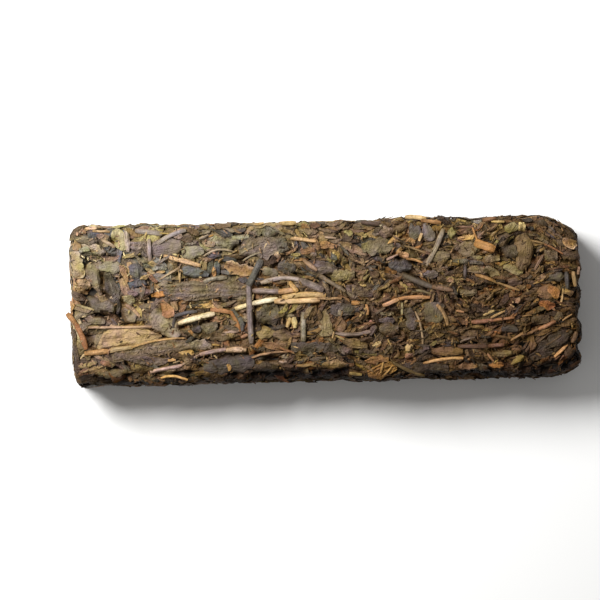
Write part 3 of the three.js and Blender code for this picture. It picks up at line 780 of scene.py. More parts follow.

# %% Stalks on the shown face
# As with the leaves, each colour is the stalk as it looks in the light, painted light and shade
# included.
STALKS = [
    ((-59.1, -1.5), (-56.8, -4.4), 1.2, 0, (178, 124, 70)),
    ((-57, -4), (-54.8, -9.8), 1.3, 0.2, (172, 112, 66)),
    ((-55.3, -10.8), (-49.6, -10.4), 1.3, 0, (206, 156, 92)),
    ((-49.8, -10.4), (-44.2, -9.5), 1.1, 0.2, (190, 162, 108)),
    ((-44.6, -9.6), (-32.4, -7.7), 0.5, 0.5, (212, 172, 108)),
    ((-54.3, -4.9), (-39.8, -5), 0.7, 0, (206, 166, 130)),
    ((-57, 0.5), (-52.8, -0.8), 0.5, 0, (186, 166, 112)),
    ((-52.9, 17.1), (-49, 16.7), 0.6, 0, (214, 172, 110)),
    ((-50.8, 15.1), (-47.9, 13.3), 0.8, 0, (196, 160, 126)),
    ((-43.2, 16.9), (-37, 16.2), 1.3, 0, (158, 134, 112)),
    ((-38.2, 13.9), (-31.6, 16.9), 1.1, 0.4, (174, 150, 132)),
    ((-37.6, 16.3), (-35.4, 16.0), 0.4, 0, (210, 178, 96)),
    ((-40, 15.1), (-40, 9.9), 1.1, 0, (176, 148, 126)),
    ((-36.8, 11.1), (-28.4, 8.6), 1.0, 0, (240, 192, 132)),
    ((-37.8, 5.8), (-33.4, 8.2), 0.5, 0, (196, 164, 124)),
    ((-33.4, 8.1), (-33.2, 5), 0.6, 0, (206, 170, 116)),
    ((-28.6, 14.8), (-26.4, 15.6), 0.7, 0, (190, 162, 134)),
    ((-26.4, 15.3), (-25.4, 15.7), 0.5, 0, (204, 152, 66)),
    ((-28, 10.5), (-20.6, 11.5), 0.5, 1.2, (192, 166, 130)),
    ((-19.4, 11.1), (-15, 13.3), 0.4, 0.1, (166, 146, 116)),
    ((-18.8, 9.6), (-14.6, 11.6), 0.4, 0.2, (194, 174, 138)),
    ((-27.8, 5), (-22.4, 5.9), 1.1, 0.3, (156, 140, 110)),
    ((-34.9, -5.2), (-34.2, -2.7), 0.7, 0.2, (84, 74, 70)),
    ((-34.6, -2.7), (-29.4, -1.7), 0.9, 0.2, (88, 80, 80)),
    ((-33.8, -4.4), (-25.4, -2.2), 1.3, 0.1, (238, 216, 160)),
    ((-26.4, -1.3), (-21.3, -2.1), 1.0, 0.1, (188, 130, 80)),
    ((-21.8, -1.8), (-19.8, -6.5), 0.9, 0.2, (178, 122, 66)),
    ((-24, -7), (-19.9, -6.3), 1.0, 0.1, (178, 146, 120)),
    ((-19.5, -7.8), (-17.4, -6.9), 0.9, 0, (168, 120, 86)),
    ((-26.2, -9.3), (-24.5, -9.5), 0.6, 0, (184, 152, 72)),
    ((-40.4, -15.3), (-33, -13.8), 0.9, 0, (196, 160, 140)),
    ((-33.2, -13.8), (-28.8, -11.5), 0.6, 0, (186, 154, 132)),
    ((-29, -11.6), (-22.6, -10.6), 1.1, 0.2, (184, 150, 134)),
    ((-23, -10.7), (-18.4, -10.7), 1.3, 0.2, (216, 180, 138)),
    ((-38, -16.7), (-31.8, -17.1), 0.6, 0.6, (250, 205, 120)),
    ((-20.8, -1.2), (-16.4, 0), 1.2, 0, (236, 212, 150)),
    ((-16.9, -0.2), (-11, 0.9), 1.3, 0.1, (240, 222, 172)),
    ((-11.8, 0.2), (-1.4, 0.2), 1.3, 0.1, (234, 192, 132)),
    ((-10, 1.1), (0, 1.3), 1.3, 0.4, (206, 170, 104)),
    ((-2, 0.7), (3.6, 0.7), 0.6, 0, (190, 152, 102)),
    ((-17.2, -9.2), (-17.5, 4.9), 1.4, 0.1, (136, 116, 106)),
    ((-17.7, 4), (-14.6, 9.9), 1.7, -0.1, (98, 92, 80)),
    ((-14.8, 4.5), (-5.4, 4.9), 1.1, 0.8, (176, 152, 132)),
    ((-6.2, 4.9), (-0.6, 2.4), 1.7, 0.2, (134, 114, 102)),
    ((-16.7, 2.8), (-10.4, 2.6), 1.3, 0, (156, 130, 114)),
    ((-10.8, 2.3), (-6.5, 2.7), 1.3, 0.1, (202, 154, 100)),
    ((-8.3, 4.7), (-6.5, 2.3), 1.2, 0, (210, 166, 94)),
    ((-8.4, 14.6), (-2, 13.7), 0.9, 0.1, (228, 180, 122)),
    ((-5, 9.6), (-2, 7), 1.1, 0, (176, 138, 102)),
    ((-1.8, 6.2), (4.4, 2.2), 1.0, 0.1, (128, 108, 84)),
    ((-10.2, 18.1), (-6.4, 17.9), 1.1, 0, (222, 184, 118)),
    ((-16, 17.9), (-13.8, 18.1), 0.7, 0, (206, 166, 106)),
    ((-5.2, -2.3), (-5.4, -9), 1.3, 0, (144, 134, 102)),
    ((-9, -5.7), (-8, -3.6), 1.1, 0, (196, 166, 98)),
    ((-7.3, -3.4), (-7.1, -5.9), 1.3, 0, (222, 198, 128)),
    ((-4.4, -7.1), (-1.3, -6.2), 1.1, -0.3, (142, 112, 54)),
    ((-10.8, -10.4), (-7.6, -11.5), 0.6, 0, (170, 120, 80)),
    ((-17.2, -12.5), (-9, -11.5), 0.5, 0.4, (196, 156, 114)),
    ((-7.1, -14.4), (-3, -14), 0.7, -0.3, (150, 122, 70)),
    ((-11, -13.5), (-9.2, -13.6), 0.7, 0, (192, 164, 136)),
    ((2, -7.2), (10, -7), 1.0, -0.6, (150, 128, 112)),
    ((1.8, -7.8), (4, -8.8), 0.5, 0, (186, 168, 106)),
    ((16.4, 0.2), (23.7, 0.5), 0.9, 0.2, (202, 148, 94)),
    ((10.6, -3.5), (13.4, -1.6), 0.5, 0.1, (116, 96, 72)),
    ((12.9, -1.3), (16.6, 0.2), 1.0, 0, (212, 160, 114)),
    ((9.2, -0.8), (9.4, -3.2), 1.0, 0, (186, 136, 80)),
    ((5.8, -0.5), (7.7, -0.5), 1.1, 0, (194, 142, 76)),
    ((17.3, -0.6), (17.2, -4.1), 0.45, 0, (168, 160, 118)),
    ((20.3, -2.6), (21.8, -10.1), 0.5, 0.5, (184, 158, 126)),
    ((25.2, -1.2), (27.6, -6), 0.8, 0.6, (176, 142, 94)),
    ((21.8, -14.6), (31, -13.6), 0.7, 0.4, (220, 178, 118)),
    ((14.5, -13.7), (22.2, -17.4), 0.8, -0.4, (100, 86, 48)),
    ((14.9, -14.9), (12.6, -17.3), 0.5, 0.2, (188, 154, 84)),
    ((12.8, -14.1), (12.2, -16.6), 0.5, 0, (192, 158, 86)),
    ((5, -16.4), (7.8, -16.9), 0.8, 0, (150, 134, 70)),
    ((18.4, 18.2), (23.2, 18), 1.1, 0.1, (238, 198, 134)),
    ((22, 17.4), (26.6, 17.2), 0.9, 0, (176, 124, 76)),
    ((8.4, 17.8), (12.4, 17.1), 0.9, 0, (90, 66, 54)),
    ((0, 14.7), (2.6, 14.5), 0.6, 0, (196, 160, 134)),
    ((14, 9), (16.6, 9.9), 0.6, 0, (182, 144, 124)),
    ((18, 11.8), (22.9, 10.2), 0.5, 0.2, (158, 128, 86)),
    ((18.4, 9.1), (22.2, 8.2), 0.5, 0.2, (214, 162, 102)),
    ((21.5, 12.8), (22.3, 14.5), 0.8, 0, (234, 194, 132)),
    ((27.1, 15.8), (23, 7.5), 1.2, 0.3, (154, 134, 104)),
    ((17.6, 5.6), (24.6, 2.7), 1.3, -0.1, (90, 78, 64)),
    ((24.2, 2.9), (29, 2), 1.1, 0, (138, 106, 78)),
    ((19.6, 1.9), (24, 1.2), 0.6, 0.4, (138, 124, 84)),
    ((34.1, 12.8), (38.7, 10.9), 1.9, 0, (206, 150, 82)),
    ((33.7, 16.2), (34.9, 13.2), 0.5, 0, (200, 146, 80)),
    ((30, 16.3), (33.8, 16.1), 0.5, 0, (142, 104, 80)),
    ((34.1, 5.4), (38.6, 3.8), 0.8, 0, (178, 136, 76)),
    ((38, 4), (44.2, 1.7), 0.6, 0, (164, 132, 80)),
    ((36, 17.8), (39.2, 18), 1.0, 0, (150, 104, 70)),
    ((38, 17.2), (41, 17), 0.6, 0, (206, 176, 104)),
    ((49.6, 9.6), (47.7, 6.2), 0.7, 0, (132, 98, 80)),
    ((46.8, 12.8), (50.2, 12.2), 0.5, 0, (154, 124, 78)),
    ((50, 12.1), (54.2, 10.6), 0.6, 0.1, (162, 110, 70)),
    ((54.9, 6.2), (55.2, 1.9), 1.0, 0, (66, 62, 62)),
    ((56.4, 6.4), (56.8, 2.4), 0.9, 0, (168, 138, 94)),
    ((57.8, 7.8), (57.6, 5.6), 0.6, 0, (166, 128, 106)),
    ((54, 1.9), (53.4, -1.9), 0.5, 0.2, (210, 178, 122)),
    ((31.9, 7.8), (31.8, 4.2), 0.8, 0, (84, 70, 70)),
    ((35.8, -3.9), (38.3, -2.9), 0.7, 0, (196, 172, 110)),
    ((37.4, -4.4), (40.9, -3), 0.5, 0, (194, 160, 110)),
    ((33, -5.4), (38.2, -5.1), 1.0, 0, (148, 98, 78)),
    ((38, -5), (42.9, -4.3), 0.7, 0, (174, 122, 84)),
    ((44.6, -4.3), (46.8, -4.1), 0.5, 0.1, (160, 126, 80)),
    ((29.6, -2.8), (31.4, -3), 0.7, 0, (188, 138, 98)),
    ((30.4, -10), (33.8, -8.9), 0.5, 0.2, (128, 110, 96)),
    ((38.4, -8.5), (42.4, -9.3), 0.5, -0.1, (106, 82, 46)),
    ((41.9, -9.8), (44.8, -8.1), 0.6, 0, (160, 124, 80)),
    ((45.6, -8.5), (48.6, -7.2), 0.6, 0, (140, 104, 66)),
    ((48.3, -7.3), (52.3, -5.7), 0.9, 0, (178, 128, 90)),
    ((53.8, -5.6), (56, -4.3), 0.5, 0, (184, 148, 98)),
    ((48.6, -9.9), (51.4, -8), 0.4, 0.2, (120, 98, 68)),
    ((49.8, -11), (53.4, -9), 0.4, -0.2, (96, 78, 54)),
    ((29.8, -10.9), (36.4, -10.8), 1.1, 0, (86, 58, 44)),
    ((36.6, -10.9), (40.4, -10.6), 1.0, 0, (122, 82, 64)),
    ((36.5, -12.6), (37.9, -14.4), 0.7, 0, (166, 124, 92)),
    ((51.8, -13.8), (54.8, -11.5), 0.9, 0, (224, 174, 118)),
    ((51.9, -14.5), (53.1, -13.8), 0.4, 0, (142, 104, 86)),
    ((53, -14.9), (54, -14), 0.4, 0, (146, 106, 88)),
    ((56, -11.4), (57, -8.8), 1.2, 0, (92, 66, 36)),
]
print(len(SHOWN_LEAVES), "leaves and", len(STALKS), "stalks are placed by hand")

# %% [markdown]
# The face isn't level either: the photograph shows grooves beside the stalks, lumps and hollows.
# Each is a line on the face with a width and a rise, which lifts or lowers everything near it.

# %% Grooves and lumps on the shown face, in millimetres
RELIEF_SHARE, RELIEF_SPREAD, RELIEF_REACH = 0.8, 0.4, 3.5
RELIEF = [
    (0.5, -1.2, (-51, 7.4), (-50.9, 3.4), (-49.4, 2)),
    (0.3, -0.8, (-58, 5.7), (-55.2, 7.2), (-54.2, 10.6)),
    (0.25, -0.7, (-53.6, 10.3), (-51.2, 10.9), (-47, 11)),
    (0.5, -0.8, (-54.2, 3.8), (-55.6, 2.2)),
    (0.4, -0.9, (-53, -1.9), (-50, -2.4), (-46.8, -2.3)),
    (0.3, -0.8, (-46.4, 2.4), (-46.3, -1.6)),
    (0.25, -0.9, (-51, -9.9), (-43.6, -8.9)),
    (0.6, -1.1, (-54.4, -6.4), (-53.4, -9.6)),
    (0.35, -0.9, (-46, -4.3), (-41.4, -4)),
    (0.25, -0.7, (-38, 0.2), (-36.6, -3), (-35.6, -3.6)),
    (0.4, -0.9, (-33.4, -5.4), (-30, -4.9), (-26, -3.4)),
    (0.8, -1.1, (-46, -15.9), (-41, -15.4)),
    (0.45, -1.4, (-39, -15.9), (-31, -15.4)),
    (0.6, -0.9, (-57, -16), (-46, -16.8)),
    (0.3, -0.9, (-16.1, 5), (-16.3, -9)),
    (0.35, -1.0, (-15.4, 3.9), (-8.8, 3.9)),
    (0.3, -0.7, (-16.2, 1.6), (-10.4, 1.4)),
    (0.35, -0.7, (-8.2, 6.4), (-4.6, 6.1)),
    (0.2, -0.7, (-6, 3.2), (-2, 2)),
    (0.5, -1.0, (-16.2, -4), (-15, -5)),
    (0.4, -0.8, (-9.6, -3.6), (-9.4, -6)),
    (0.3, -0.8, (-4.5, -5), (-4.5, -8.6)),
    (0.3, -0.8, (-29.6, -12.3), (-17.6, -11.7)),
    (0.8, -0.9, (-30.2, -14.4), (-29, -16.2)),
    (0.6, -1.5, (-22.6, -16.2), (-12, -16.6)),
    (1.2, -2.0, (-16, -16.6), (-11, -16.4), (4, -16.3)),
    (0.7, -0.8, (5.6, -13), (7.2, -16)),
    (0.7, -1.1, (16.4, -10.8), (17.2, -12.6)),
    (0.4, -0.8, (18.8, -7), (18.3, -9)),
    (0.2, -0.7, (22, -5), (24.6, -5.9), (26.6, -5)),
    (0.4, -0.7, (8.8, -7.6), (9.2, -9)),
    (0.3, -0.8, (12.6, -2.3), (15.4, -1.4)),
    (0.25, -0.9, (16, 16), (18.2, 17.2), (22, 17.7)),
    (0.3, -0.8, (12.6, 10.2), (16, 10.3)),
    (0.4, -1.0, (16.8, 9), (21.4, 8), (22.4, 6.4)),
    (0.25, -0.7, (23.6, 3.8), (27.8, 3.4)),
    (0.5, -1.0, (1, 3.8), (1.8, 2.7)),
    (0.2, -0.7, (2.6, 4.3), (6.4, 4.2)),
    (0.2, -0.6, (6.7, 15.4), (6.9, 12.2)),
    (0.25, -0.8, (48, 11), (47.6, 8), (45.6, 6)),
    (0.6, -0.9, (39.8, 10.6), (40.6, 9.5)),
    (0.25, -0.8, (54.3, 6), (54.4, 2.4)),
    (0.25, -0.8, (55.9, 5.4), (56, 2)),
    (0.4, -0.8, (36.6, -1.2), (39.8, 0.4)),
    (0.4, -0.7, (52.8, -2), (54.8, -3.2)),
    (1.2, -1.8, (45.6, -16), (54.4, -16.2)),
    (0.6, -0.8, (40.6, -14.4), (41.8, -15.8)),
    (0.9, -1.7, (22, -17.2), (41, -17.2)),
    (0.6, -1.3, (57.5, -1.4), (57.3, -6.2)),
    (0.8, -1.3, (57.3, -12.6), (56, -16.2)),
    (0.6, -1.1, (-16.4, -11.6), (-14.4, -12.6), (-11, -12.8)),
    (1.5, 0.35, (-52.6, 1.2), (-50.4, -0.2)),
    (1.0, 0.3, (-52.8, 9), (-52.4, 5)),
    (1.6, 0.25, (-56.8, 11), (-56.6, 8)),
]


def hand_relief(points):
    """How far the photograph shows places on the shown face below or above their surroundings."""
    total = np.zeros(points.shape[:-1])
    plan = points[..., :2]
    for wide, rise, *path in RELIEF:
        nearest = np.full(total.shape, 1e6)
        for start, end in zip(path[:-1], path[1:]):
            run = np.subtract(end, start)
            share = np.clip((plan - start) @ run / (run @ run), 0, 1)
            gap = plan - start - share[..., None] * run
            nearest = np.minimum(nearest, (gap**2).sum(-1))
        total += rise * np.exp(-nearest / wide**2)
    uneven = RELIEF_SHARE + RELIEF_SPREAD * soft_noise(points, RELIEF_REACH, seed=44)
    return np.where(points[..., 2] > 0, total * uneven, 0)


# %% [markdown]
# A placed leaf is walked from its middle like a strewn one, but with a finer grid and a form of
# its own. A stalk is stiff: it doesn't follow the bed but runs straight on, and one of them sticks
# out past the end of the bar. So its grid is a plain strip at the height of the bed.

# %% Grids for placed pieces
SAIL = [(0, 0.85), (0.08, 1), (0.5, 0.9), (0.8, 0.55), (1, 0.08)]
DROP = [(0, 0.2), (0.3, 0.35), (0.5, 0.8), (0.8, 1), (0.96, 0.9), (1, 0.6)]
LEAF_STEP, LEAF_ROWS, LEAF_COLUMNS = 0.8, (9, 31), (7, 15)
LEAF_THICKNESS = 0.24
STALK_STEP, STALK_ROWS, STALK_COLUMNS = 0.5, (7, 30), 7
STALK_SKIN = 0.06
END_REACH, END_WIDTH, ADDED_WIDTH = 0.8, 0.7, 0.3
SINK_REACH, END_SINK, SHORT_STALK = 1.6, 0.25, 3
UNEVEN_HEIGHT, UNEVEN_WIDTH, WANDER = 0.14, 0.1, 0.08
THICK_STALK, ROUND, FLATTENED = 1.6, 0.5, 0.3


def formed(blunt=0.5, ragged=0.1, profile=None, slant=0.0, polish=0.3, **form):
    """How the sheets of one style are formed."""
    return dict(blunt=blunt, ragged=ragged, profile=profile, slant=slant, polish=polish, form=form)


STYLES = {
    "plain": formed(
        0.42, 0.07, polish=1.0, roll=0.12, tilt=0.12, ridges=0.05, turns=1.6, crumple=0.03
    ),
    "sail": formed(0.5, 0.04, SAIL, 0.45, 1.0, tilt=0.1, ridges=0.04, turns=1.4, crumple=0.02),
    "drop": formed(0.5, 0.07, DROP, polish=1.0, tilt=0.12, ridges=0.06, turns=1.6, crumple=0.04),
    "flat": formed(
        0.42, 0.2, polish=0.6, tilt=0.15, fold=0.12, ridges=0.09, turns=2.0, crumple=0.07
    ),
    "cupped": formed(
        0.5, 0.14, polish=0.8, cup=0.4, tilt=0.12, ridges=0.07, turns=2.0, crumple=0.06
    ),
    "folded": formed(0.55, 0.13, fold=0.5, tilt=0.1, ridges=0.08, turns=2.0, crumple=0.1),
    "strip": formed(0.4, 0.1, polish=0.5, ridges=0.16, turns=3.4, fold=0.2, tilt=0.1, crumple=0.06),
    "rolled": formed(0.5, 0.08, polish=0.9, roll=0.5, ridges=0.06, turns=2.0, crumple=0.04),
    "fan": formed(0.45, 0.12, ridges=0.2, turns=4.0, tilt=0.1, crumple=0.05),
}
MASS_TONE = (112, 96, 74)
LEAF_SHARE, LEAF_STRENGTH = 0.24, np.array([0.75, 0.71, 0.68])
STALK_SHARE, STALK_STRENGTH = 0.2, np.array([0.6, 0.575, 0.545])
TONE_ALONG = np.array([0.1, 0.05, -0.03])
TONE_ACROSS = np.array([0.03, 0.1, 0.15])
UP = np.array([0.0, 0.0, 1.0])
DEEPEST_DIP = 1.4


def muted(colour, share, strength, spot):
    """A tint for a colour as it looks in the light, part of the way to the bar's own."""
    mixed = (1 - share) * linear(colour) + share * linear(MASS_TONE)
    tone = TONE_ALONG * spot[0] / BED_HALF[0] + TONE_ACROSS * spot[1] / BED_HALF[1]
    return (mixed * strength * np.exp(tone))[None]


def bowed_line(start, end, bow, rows):
    """Places in plan along a bowed line, and the way that it runs at each."""
    start, end = np.array(start, float), np.array(end, float)
    run = end - start
    left = np.array([-run[1], run[0]]) / np.linalg.norm(run)
    t = np.linspace(0, 1, rows)[:, None]
    line = start + run * t + left * bow * 4 * t * (1 - t)
    way = run + left * bow * 4 * (1 - 2 * t)
    return line, way / np.linalg.norm(way, axis=1, keepdims=True)


def nearest_kind(colour):
    """The kind of leaf that has a tint most like this colour."""

    def apart(kind):
        return min(np.abs(np.subtract(tone, colour)).sum() for tone in KINDS[kind])

    return min(KINDS, key=apart)


def place_leaf(style, start, end, wide, bow, colour, draws):
    """One leaf of the shown face. A bow of a given height takes a bend of eight times its share of
    the length."""
    given = STYLES[style]
    run = np.array(end, float) - start
    long = np.array([np.linalg.norm(run)])
    wides = np.array([float(wide)])
    rows = int(np.clip(2 * round(long[0] / LEAF_STEP) + 1, *LEAF_ROWS))
    columns = int(np.clip(2 * round(wide / LEAF_STEP) + 1, *LEAF_COLUMNS))
    middle = (np.array(start, float) + end) / 2
    spots, normals = settle(np.array([[*middle, BED_HALF[2]]]))
    headings = level(np.array([[*run, 0.0]]), normals)
    sides = given["blunt"], given["ragged"], draws, given["profile"]
    left = outline(1, rows, wides, *sides)
    right = outline(1, rows, wides, *sides)
    bend = np.array([-8 * bow / long[0]])
    slant = np.array([given["slant"]])
    grid = lay_out(spots, normals, headings, long, bend, left, right, slant, columns)
    rise = surface(1, rows, columns, draws, wides, **given["form"])
    tint = muted(colour, LEAF_SHARE, LEAF_STRENGTH, middle)
    drape(
        nearest_kind(colour), grid, rise, np.array([LEAF_THICKNESS]), tint, (long, wides),
        stiff=6, claims=True, polish=given["polish"],
    )


def place_stalk(start, end, wide, bow, colour, draws):
    """One stalk: uneven, a little narrower at its ends, which are pressed into the leaves."""
    long = math.dist(start, end)
    rows, columns = int(np.clip(round(long / STALK_STEP), *STALK_ROWS)), STALK_COLUMNS
    line, way = bowed_line(start, end, bow, rows)
    above = np.column_stack([line, np.full(rows, BED_HALF[2])])
    dip = np.maximum(settle(above)[0][:, 2], BED_HALF[2] - DEEPEST_DIP)
    from_end = np.minimum(np.arange(rows), np.arange(rows)[::-1]) * long / (rows - 1)
    ends = np.clip(from_end / END_REACH, 0, 1)
    slow = blur_matrix(rows) @ blur_matrix(rows) @ draws.normal(0, 1, rows)
    uneven = 1 + UNEVEN_HEIGHT * slow
    swell = 1 + UNEVEN_WIDTH * blur_matrix(rows) @ draws.normal(0, 1, rows)
    half = wide / 2 * (END_WIDTH + ADDED_WIDTH * ends) * swell
    v = np.sin(np.linspace(-1, 1, columns) * math.pi / 2)
    side = np.column_stack([-way[:, 1], way[:, 0]])
    wander = WANDER * np.cumsum(draws.normal(0, 1, rows)) / math.sqrt(rows)
    plan = line[:, None] + side[:, None] * (half[:, None] * v + wander[:, None])[..., None]
    depth = np.broadcast_to(dip[:, None, None], (rows, columns, 1))
    base = np.concatenate([plan, depth], -1)[None]
    thick = (ROUND if wide < THICK_STALK else FLATTENED) * wide
    sunk = END_SINK * (1 - np.clip(from_end / SINK_REACH, 0, 1)) * (long > SHORT_STALK)
    round_top = (thick * uneven - sunk)[:, None] * np.sqrt(np.clip(1 - v**2, 0, 1))[None]
    grid = np.stack([base, np.broadcast_to(UP, base.shape)])
    tint = muted(colour, STALK_SHARE, STALK_STRENGTH, line.mean(axis=0))
    sizes = (np.array([long]), np.array([float(wide)]))
    drape(
        "stalks", grid, round_top[None], np.array([STALK_SKIN]), tint, sizes,
        stiff=12, claims=True, solid=True,
    )


hand = np.random.default_rng(515)
for style, start, end, wide, bow, colour in SHOWN_LEAVES:
    place_leaf(style, start, end, wide, bow, colour, hand)
show_heights("placed leaves")

# %% [markdown]
# Small leaves then fill what is still low, between and partly under the large ones. The stalks
# come next and lie on top of the leaves. Last come scraps, with loose tips on the sides and the
# underside.

# %% Fill up with small leaves, then lay the stalks
strew(
    "small leaves", 4800, 4.2, 1.35, (9, 5), 0.13, -0.02, rng,
    ragged=0.2, spare=0.35, tilt=0.13, fold=0.25, ridges=0.07, turns=1.3, crumple=0.08,
)
strew(
    "leaf scraps", 5200, 3.0, 0.9, (7, 3), 0.12, 0.12, rng,
    ragged=0.2, spare=0.35, tilt=0.1, fold=0.3, crumple=0.07,
)
for start, end, wide, bow, colour in STALKS:
    place_stalk(start, end, wide, bow, colour, hand)
strew(
    "top scraps", 1500, 2.6, 0.8, (7, 3), 0.1, 0.9, rng,
    ragged=0.2, spare=0.5, tilt=0.1, fold=0.2, crumple=0.08,
)
strew(
    "loose tips", 1500, 2.4, 1.1, (5, 5), 0.14, 0.9, rng,
    ragged=0.2, spare=0.3, loose=True, tilt=0.08, curl=0.32,
)

# %% [markdown]
# ## Pressing
# The mould's faces stop the leaves. A leaf below the surface keeps its height, and one that stands
# higher gives way more and more the nearer it comes to the mould. The rule never lets two leaves
# change places, so nothing pokes through what covers it. Leaves that lie deep are painted darker
# and warmer, as painted shade, like the gaps of the real one; in a groove they are darker still.

# %% Press the heap and build one mesh for each kind
KNEE = 0.75
PRESSED_ROOM = 0.2
FACE_LIFT = 0.72
EVENING_SHARE, EVENING_STEPS = 0.8, 60
NEAR_SHARE, NEAR_STEPS = 0.15, 8
SIDE_LIFT = 0.22
SIDE_UNEVENNESS, SIDE_REACH = 0.17, 7
NICKS, NICK_REACH = 0.1, 2.8
LOWEST_LEAF = 0.3
# How deep leaves and grooves are painted darker and warmer, as painted shade.
DEEP_SHADE = 0.34
DARK_BELOW, LIGHT_ABOVE = -1.0, 0.5
GROOVE_SHADE = 0.9
SHADE_TINT = np.array([1, 1.3, 2.0])
USUAL_GREENNESS, EVENED = 1.16, 0.22
SHARP_EDGE = math.radians(55)


def broad_heights(steps):
    """The heap's height without its details: each cell becomes a mean of its surroundings."""
    weight = on_bed.reshape(MAP_SHAPE).astype(np.float32)
    total = np.where(on_bed, heights, 0).astype(np.float32).reshape(MAP_SHAPE)
    for _ in range(steps):
        for axis in range(3):
            total = (np.roll(total, 1, axis) + 2 * total + np.roll(total, -1, axis)) / 4
            weight = (np.roll(weight, 1, axis) + 2 * weight + np.roll(weight, -1, axis)) / 4
    return (total / np.maximum(weight, 1e-6)).ravel()


BROAD, NEAR = broad_heights(EVENING_STEPS), broad_heights(NEAR_STEPS)
print("broad heights:", np.percentile(BROAD[on_bed], [1, 10, 50, 90, 99]).round(2))


def pressed(lifts, base):
    """Heights after pressing, which evens out broad ups and downs and stops what stands out."""
    here = cells(settle(base)[0])
    broad, near = BROAD[here][:, None], NEAR[here][:, None]
    lifts = lifts + NEAR_SHARE * (near - lifts) + EVENING_SHARE * (FACE_LIFT - broad)
    most = BED_DEPTH + PRESSED_ROOM - KNEE
    over = np.maximum(lifts - KNEE, 0)
    ways = settle(base)[1]
    more_at_right = 1 + np.maximum(ways[..., 0], 0)
    uneven = SIDE_UNEVENNESS * more_at_right * soft_noise(base, SIDE_REACH, seed=33)
    uneven = uneven + NICKS * soft_noise(base, NICK_REACH, seed=34)
    sideways = (1 - ways[..., 2] ** 2) * (SIDE_LIFT + uneven)
    return np.minimum(lifts, KNEE) + most * (1 - np.exp(-over / most)) + sideways[:, None]


def on_surface(points):
    """Nothing goes below what the bar lies on: the lowest leaves flatten out just above it."""
    z = points[..., 2]
    flat = LOWEST_LEAF * np.exp(np.minimum(z - LOWEST_LEAF, 0) / LOWEST_LEAF)
    points[..., 2] = np.where(z < LOWEST_LEAF, flat, z)
    return points


def quads(rows, columns):
    """The faces of one closed sheet: the top grid, the bottom grid and the rim between them."""
    at = np.arange(rows * columns).reshape(rows, columns)
    under = at + rows * columns
    a, b, c, d = at[:-1, :-1], at[1:, :-1], at[1:, 1:], at[:-1, 1:]
    top = np.stack([a, b, c, d], -1).reshape(-1, 4)
    bottom = np.stack([d, c, b, a], -1).reshape(-1, 4) + rows * columns
    ring = np.concatenate([at[:, 0], at[-1, 1:], at[-2::-1, -1], at[0, -2:0:-1]])
    ring_under = np.concatenate([under[:, 0], under[-1, 1:], under[-2::-1, -1], under[0, -2:0:-1]])
    onward, onward_under = np.roll(ring, -1), np.roll(ring_under, -1)
    rim = np.stack([onward, ring, ring_under, onward_under], -1)
    return np.concatenate([top, bottom, rim])


def evened(tints):
    """Colours drawn a little towards the line from black to straw-yellow, as dry tea has."""
    greenness = tints[:, 1] / np.sqrt(tints[:, 0] * tints[:, 2]) / USUAL_GREENNESS
    return tints * np.stack([np.ones(len(tints)), greenness**-EVENED, np.ones(len(tints))], -1)


def mesh_of(name, batches):
    """One mesh of closed sheets. Each corner notes its tint, its place in its leaf and a polish."""
    corners, faces, tints, leaves, polishes, count = [], [], [], [], [], 0
    for base, normals, lifts, after, tint, shades, leaf, polish in batches:
        n, rows, columns, _ = base.shape
        worked = hand_relief(base)[:, None] * (name != "stalks")
        final = pressed(lifts + worked, base) + after[:, None]
        points = base[:, None] + normals[:, None] * final[..., None]
        points = on_surface(wear(points))
        # Painted shade: the deeper a leaf lies, and the deeper its groove, the darker and warmer it
        # is painted.
        lit = smooth((final - DARK_BELOW) / (LIGHT_ABOVE - DARK_BELOW))
        depth = DEEP_SHADE + (1 - DEEP_SHADE) * lit
        depth = depth * np.exp(GROOVE_SHADE * np.minimum(worked, 0))
        colours = evened(tint)[:, None, None, None] * (shades * depth)[..., None] ** SHADE_TINT
        each = 2 * rows * columns
        one = quads(rows, columns)
        faces.append((one[None] + (count + each * np.arange(n))[:, None, None]).reshape(-1, 4))
        corners.append(points.reshape(-1, 3))
        tints.append(colours.reshape(-1, 3))
        leaves.append(np.broadcast_to(leaf[:, None], (n, 2, rows, columns, 3)).reshape(-1, 3))
        polishes.append(np.repeat(polish, each))
        count += n * each
    faces = np.concatenate(faces)
    mesh = bpy.data.meshes.new(name)
    mesh.vertices.add(count)
    mesh.vertices.foreach_set("co", (np.concatenate(corners) * MM).astype(np.float32).ravel())
    mesh.loops.add(faces.size)
    mesh.loops.foreach_set("vertex_index", faces.astype(np.int32).ravel())
    mesh.polygons.add(len(faces))
    mesh.polygons.foreach_set("loop_start", np.arange(0, faces.size, 4, dtype=np.int32))
    mesh.update(calc_edges=True)
    mesh.polygons.foreach_set("use_smooth", np.ones(len(faces), bool))
    tint = mesh.attributes.new("tint", "FLOAT_COLOR", "POINT")
    rgba = np.column_stack([np.concatenate(tints), np.ones(count)])
    tint.data.foreach_set("color", rgba.astype(np.float32).ravel())
    leaf = mesh.attributes.new("leaf", "FLOAT_VECTOR", "POINT")
    leaf.data.foreach_set("vector", np.concatenate(leaves).astype(np.float32).ravel())
    smoothness = mesh.attributes.new("polish", "FLOAT", "POINT")
    smoothness.data.foreach_set("value", np.concatenate(polishes).astype(np.float32))
    mesh.set_sharp_from_angle(angle=SHARP_EDGE)
    piece = bpy.data.objects.new(name, mesh)
    bpy.context.scene.collection.objects.link(piece)
    print(name, "triangles:", 2 * len(faces))
    return piece


kinds = {name: mesh_of(name, batches) for name, batches in heap.items()}

# %% [markdown]
# ## The imported inside
# Between the outer leaves the eye meets more tea, too deep to make out. A dark core closes every
# gap: the bed itself, finely divided, with the same gentle bumps as the map started with. Its
# colour is partly the tea's own dark brown and partly painted shade for the gaps.

# %% The core
CORE_SQUARE, CORE_BELOW = 1.1, 0.1


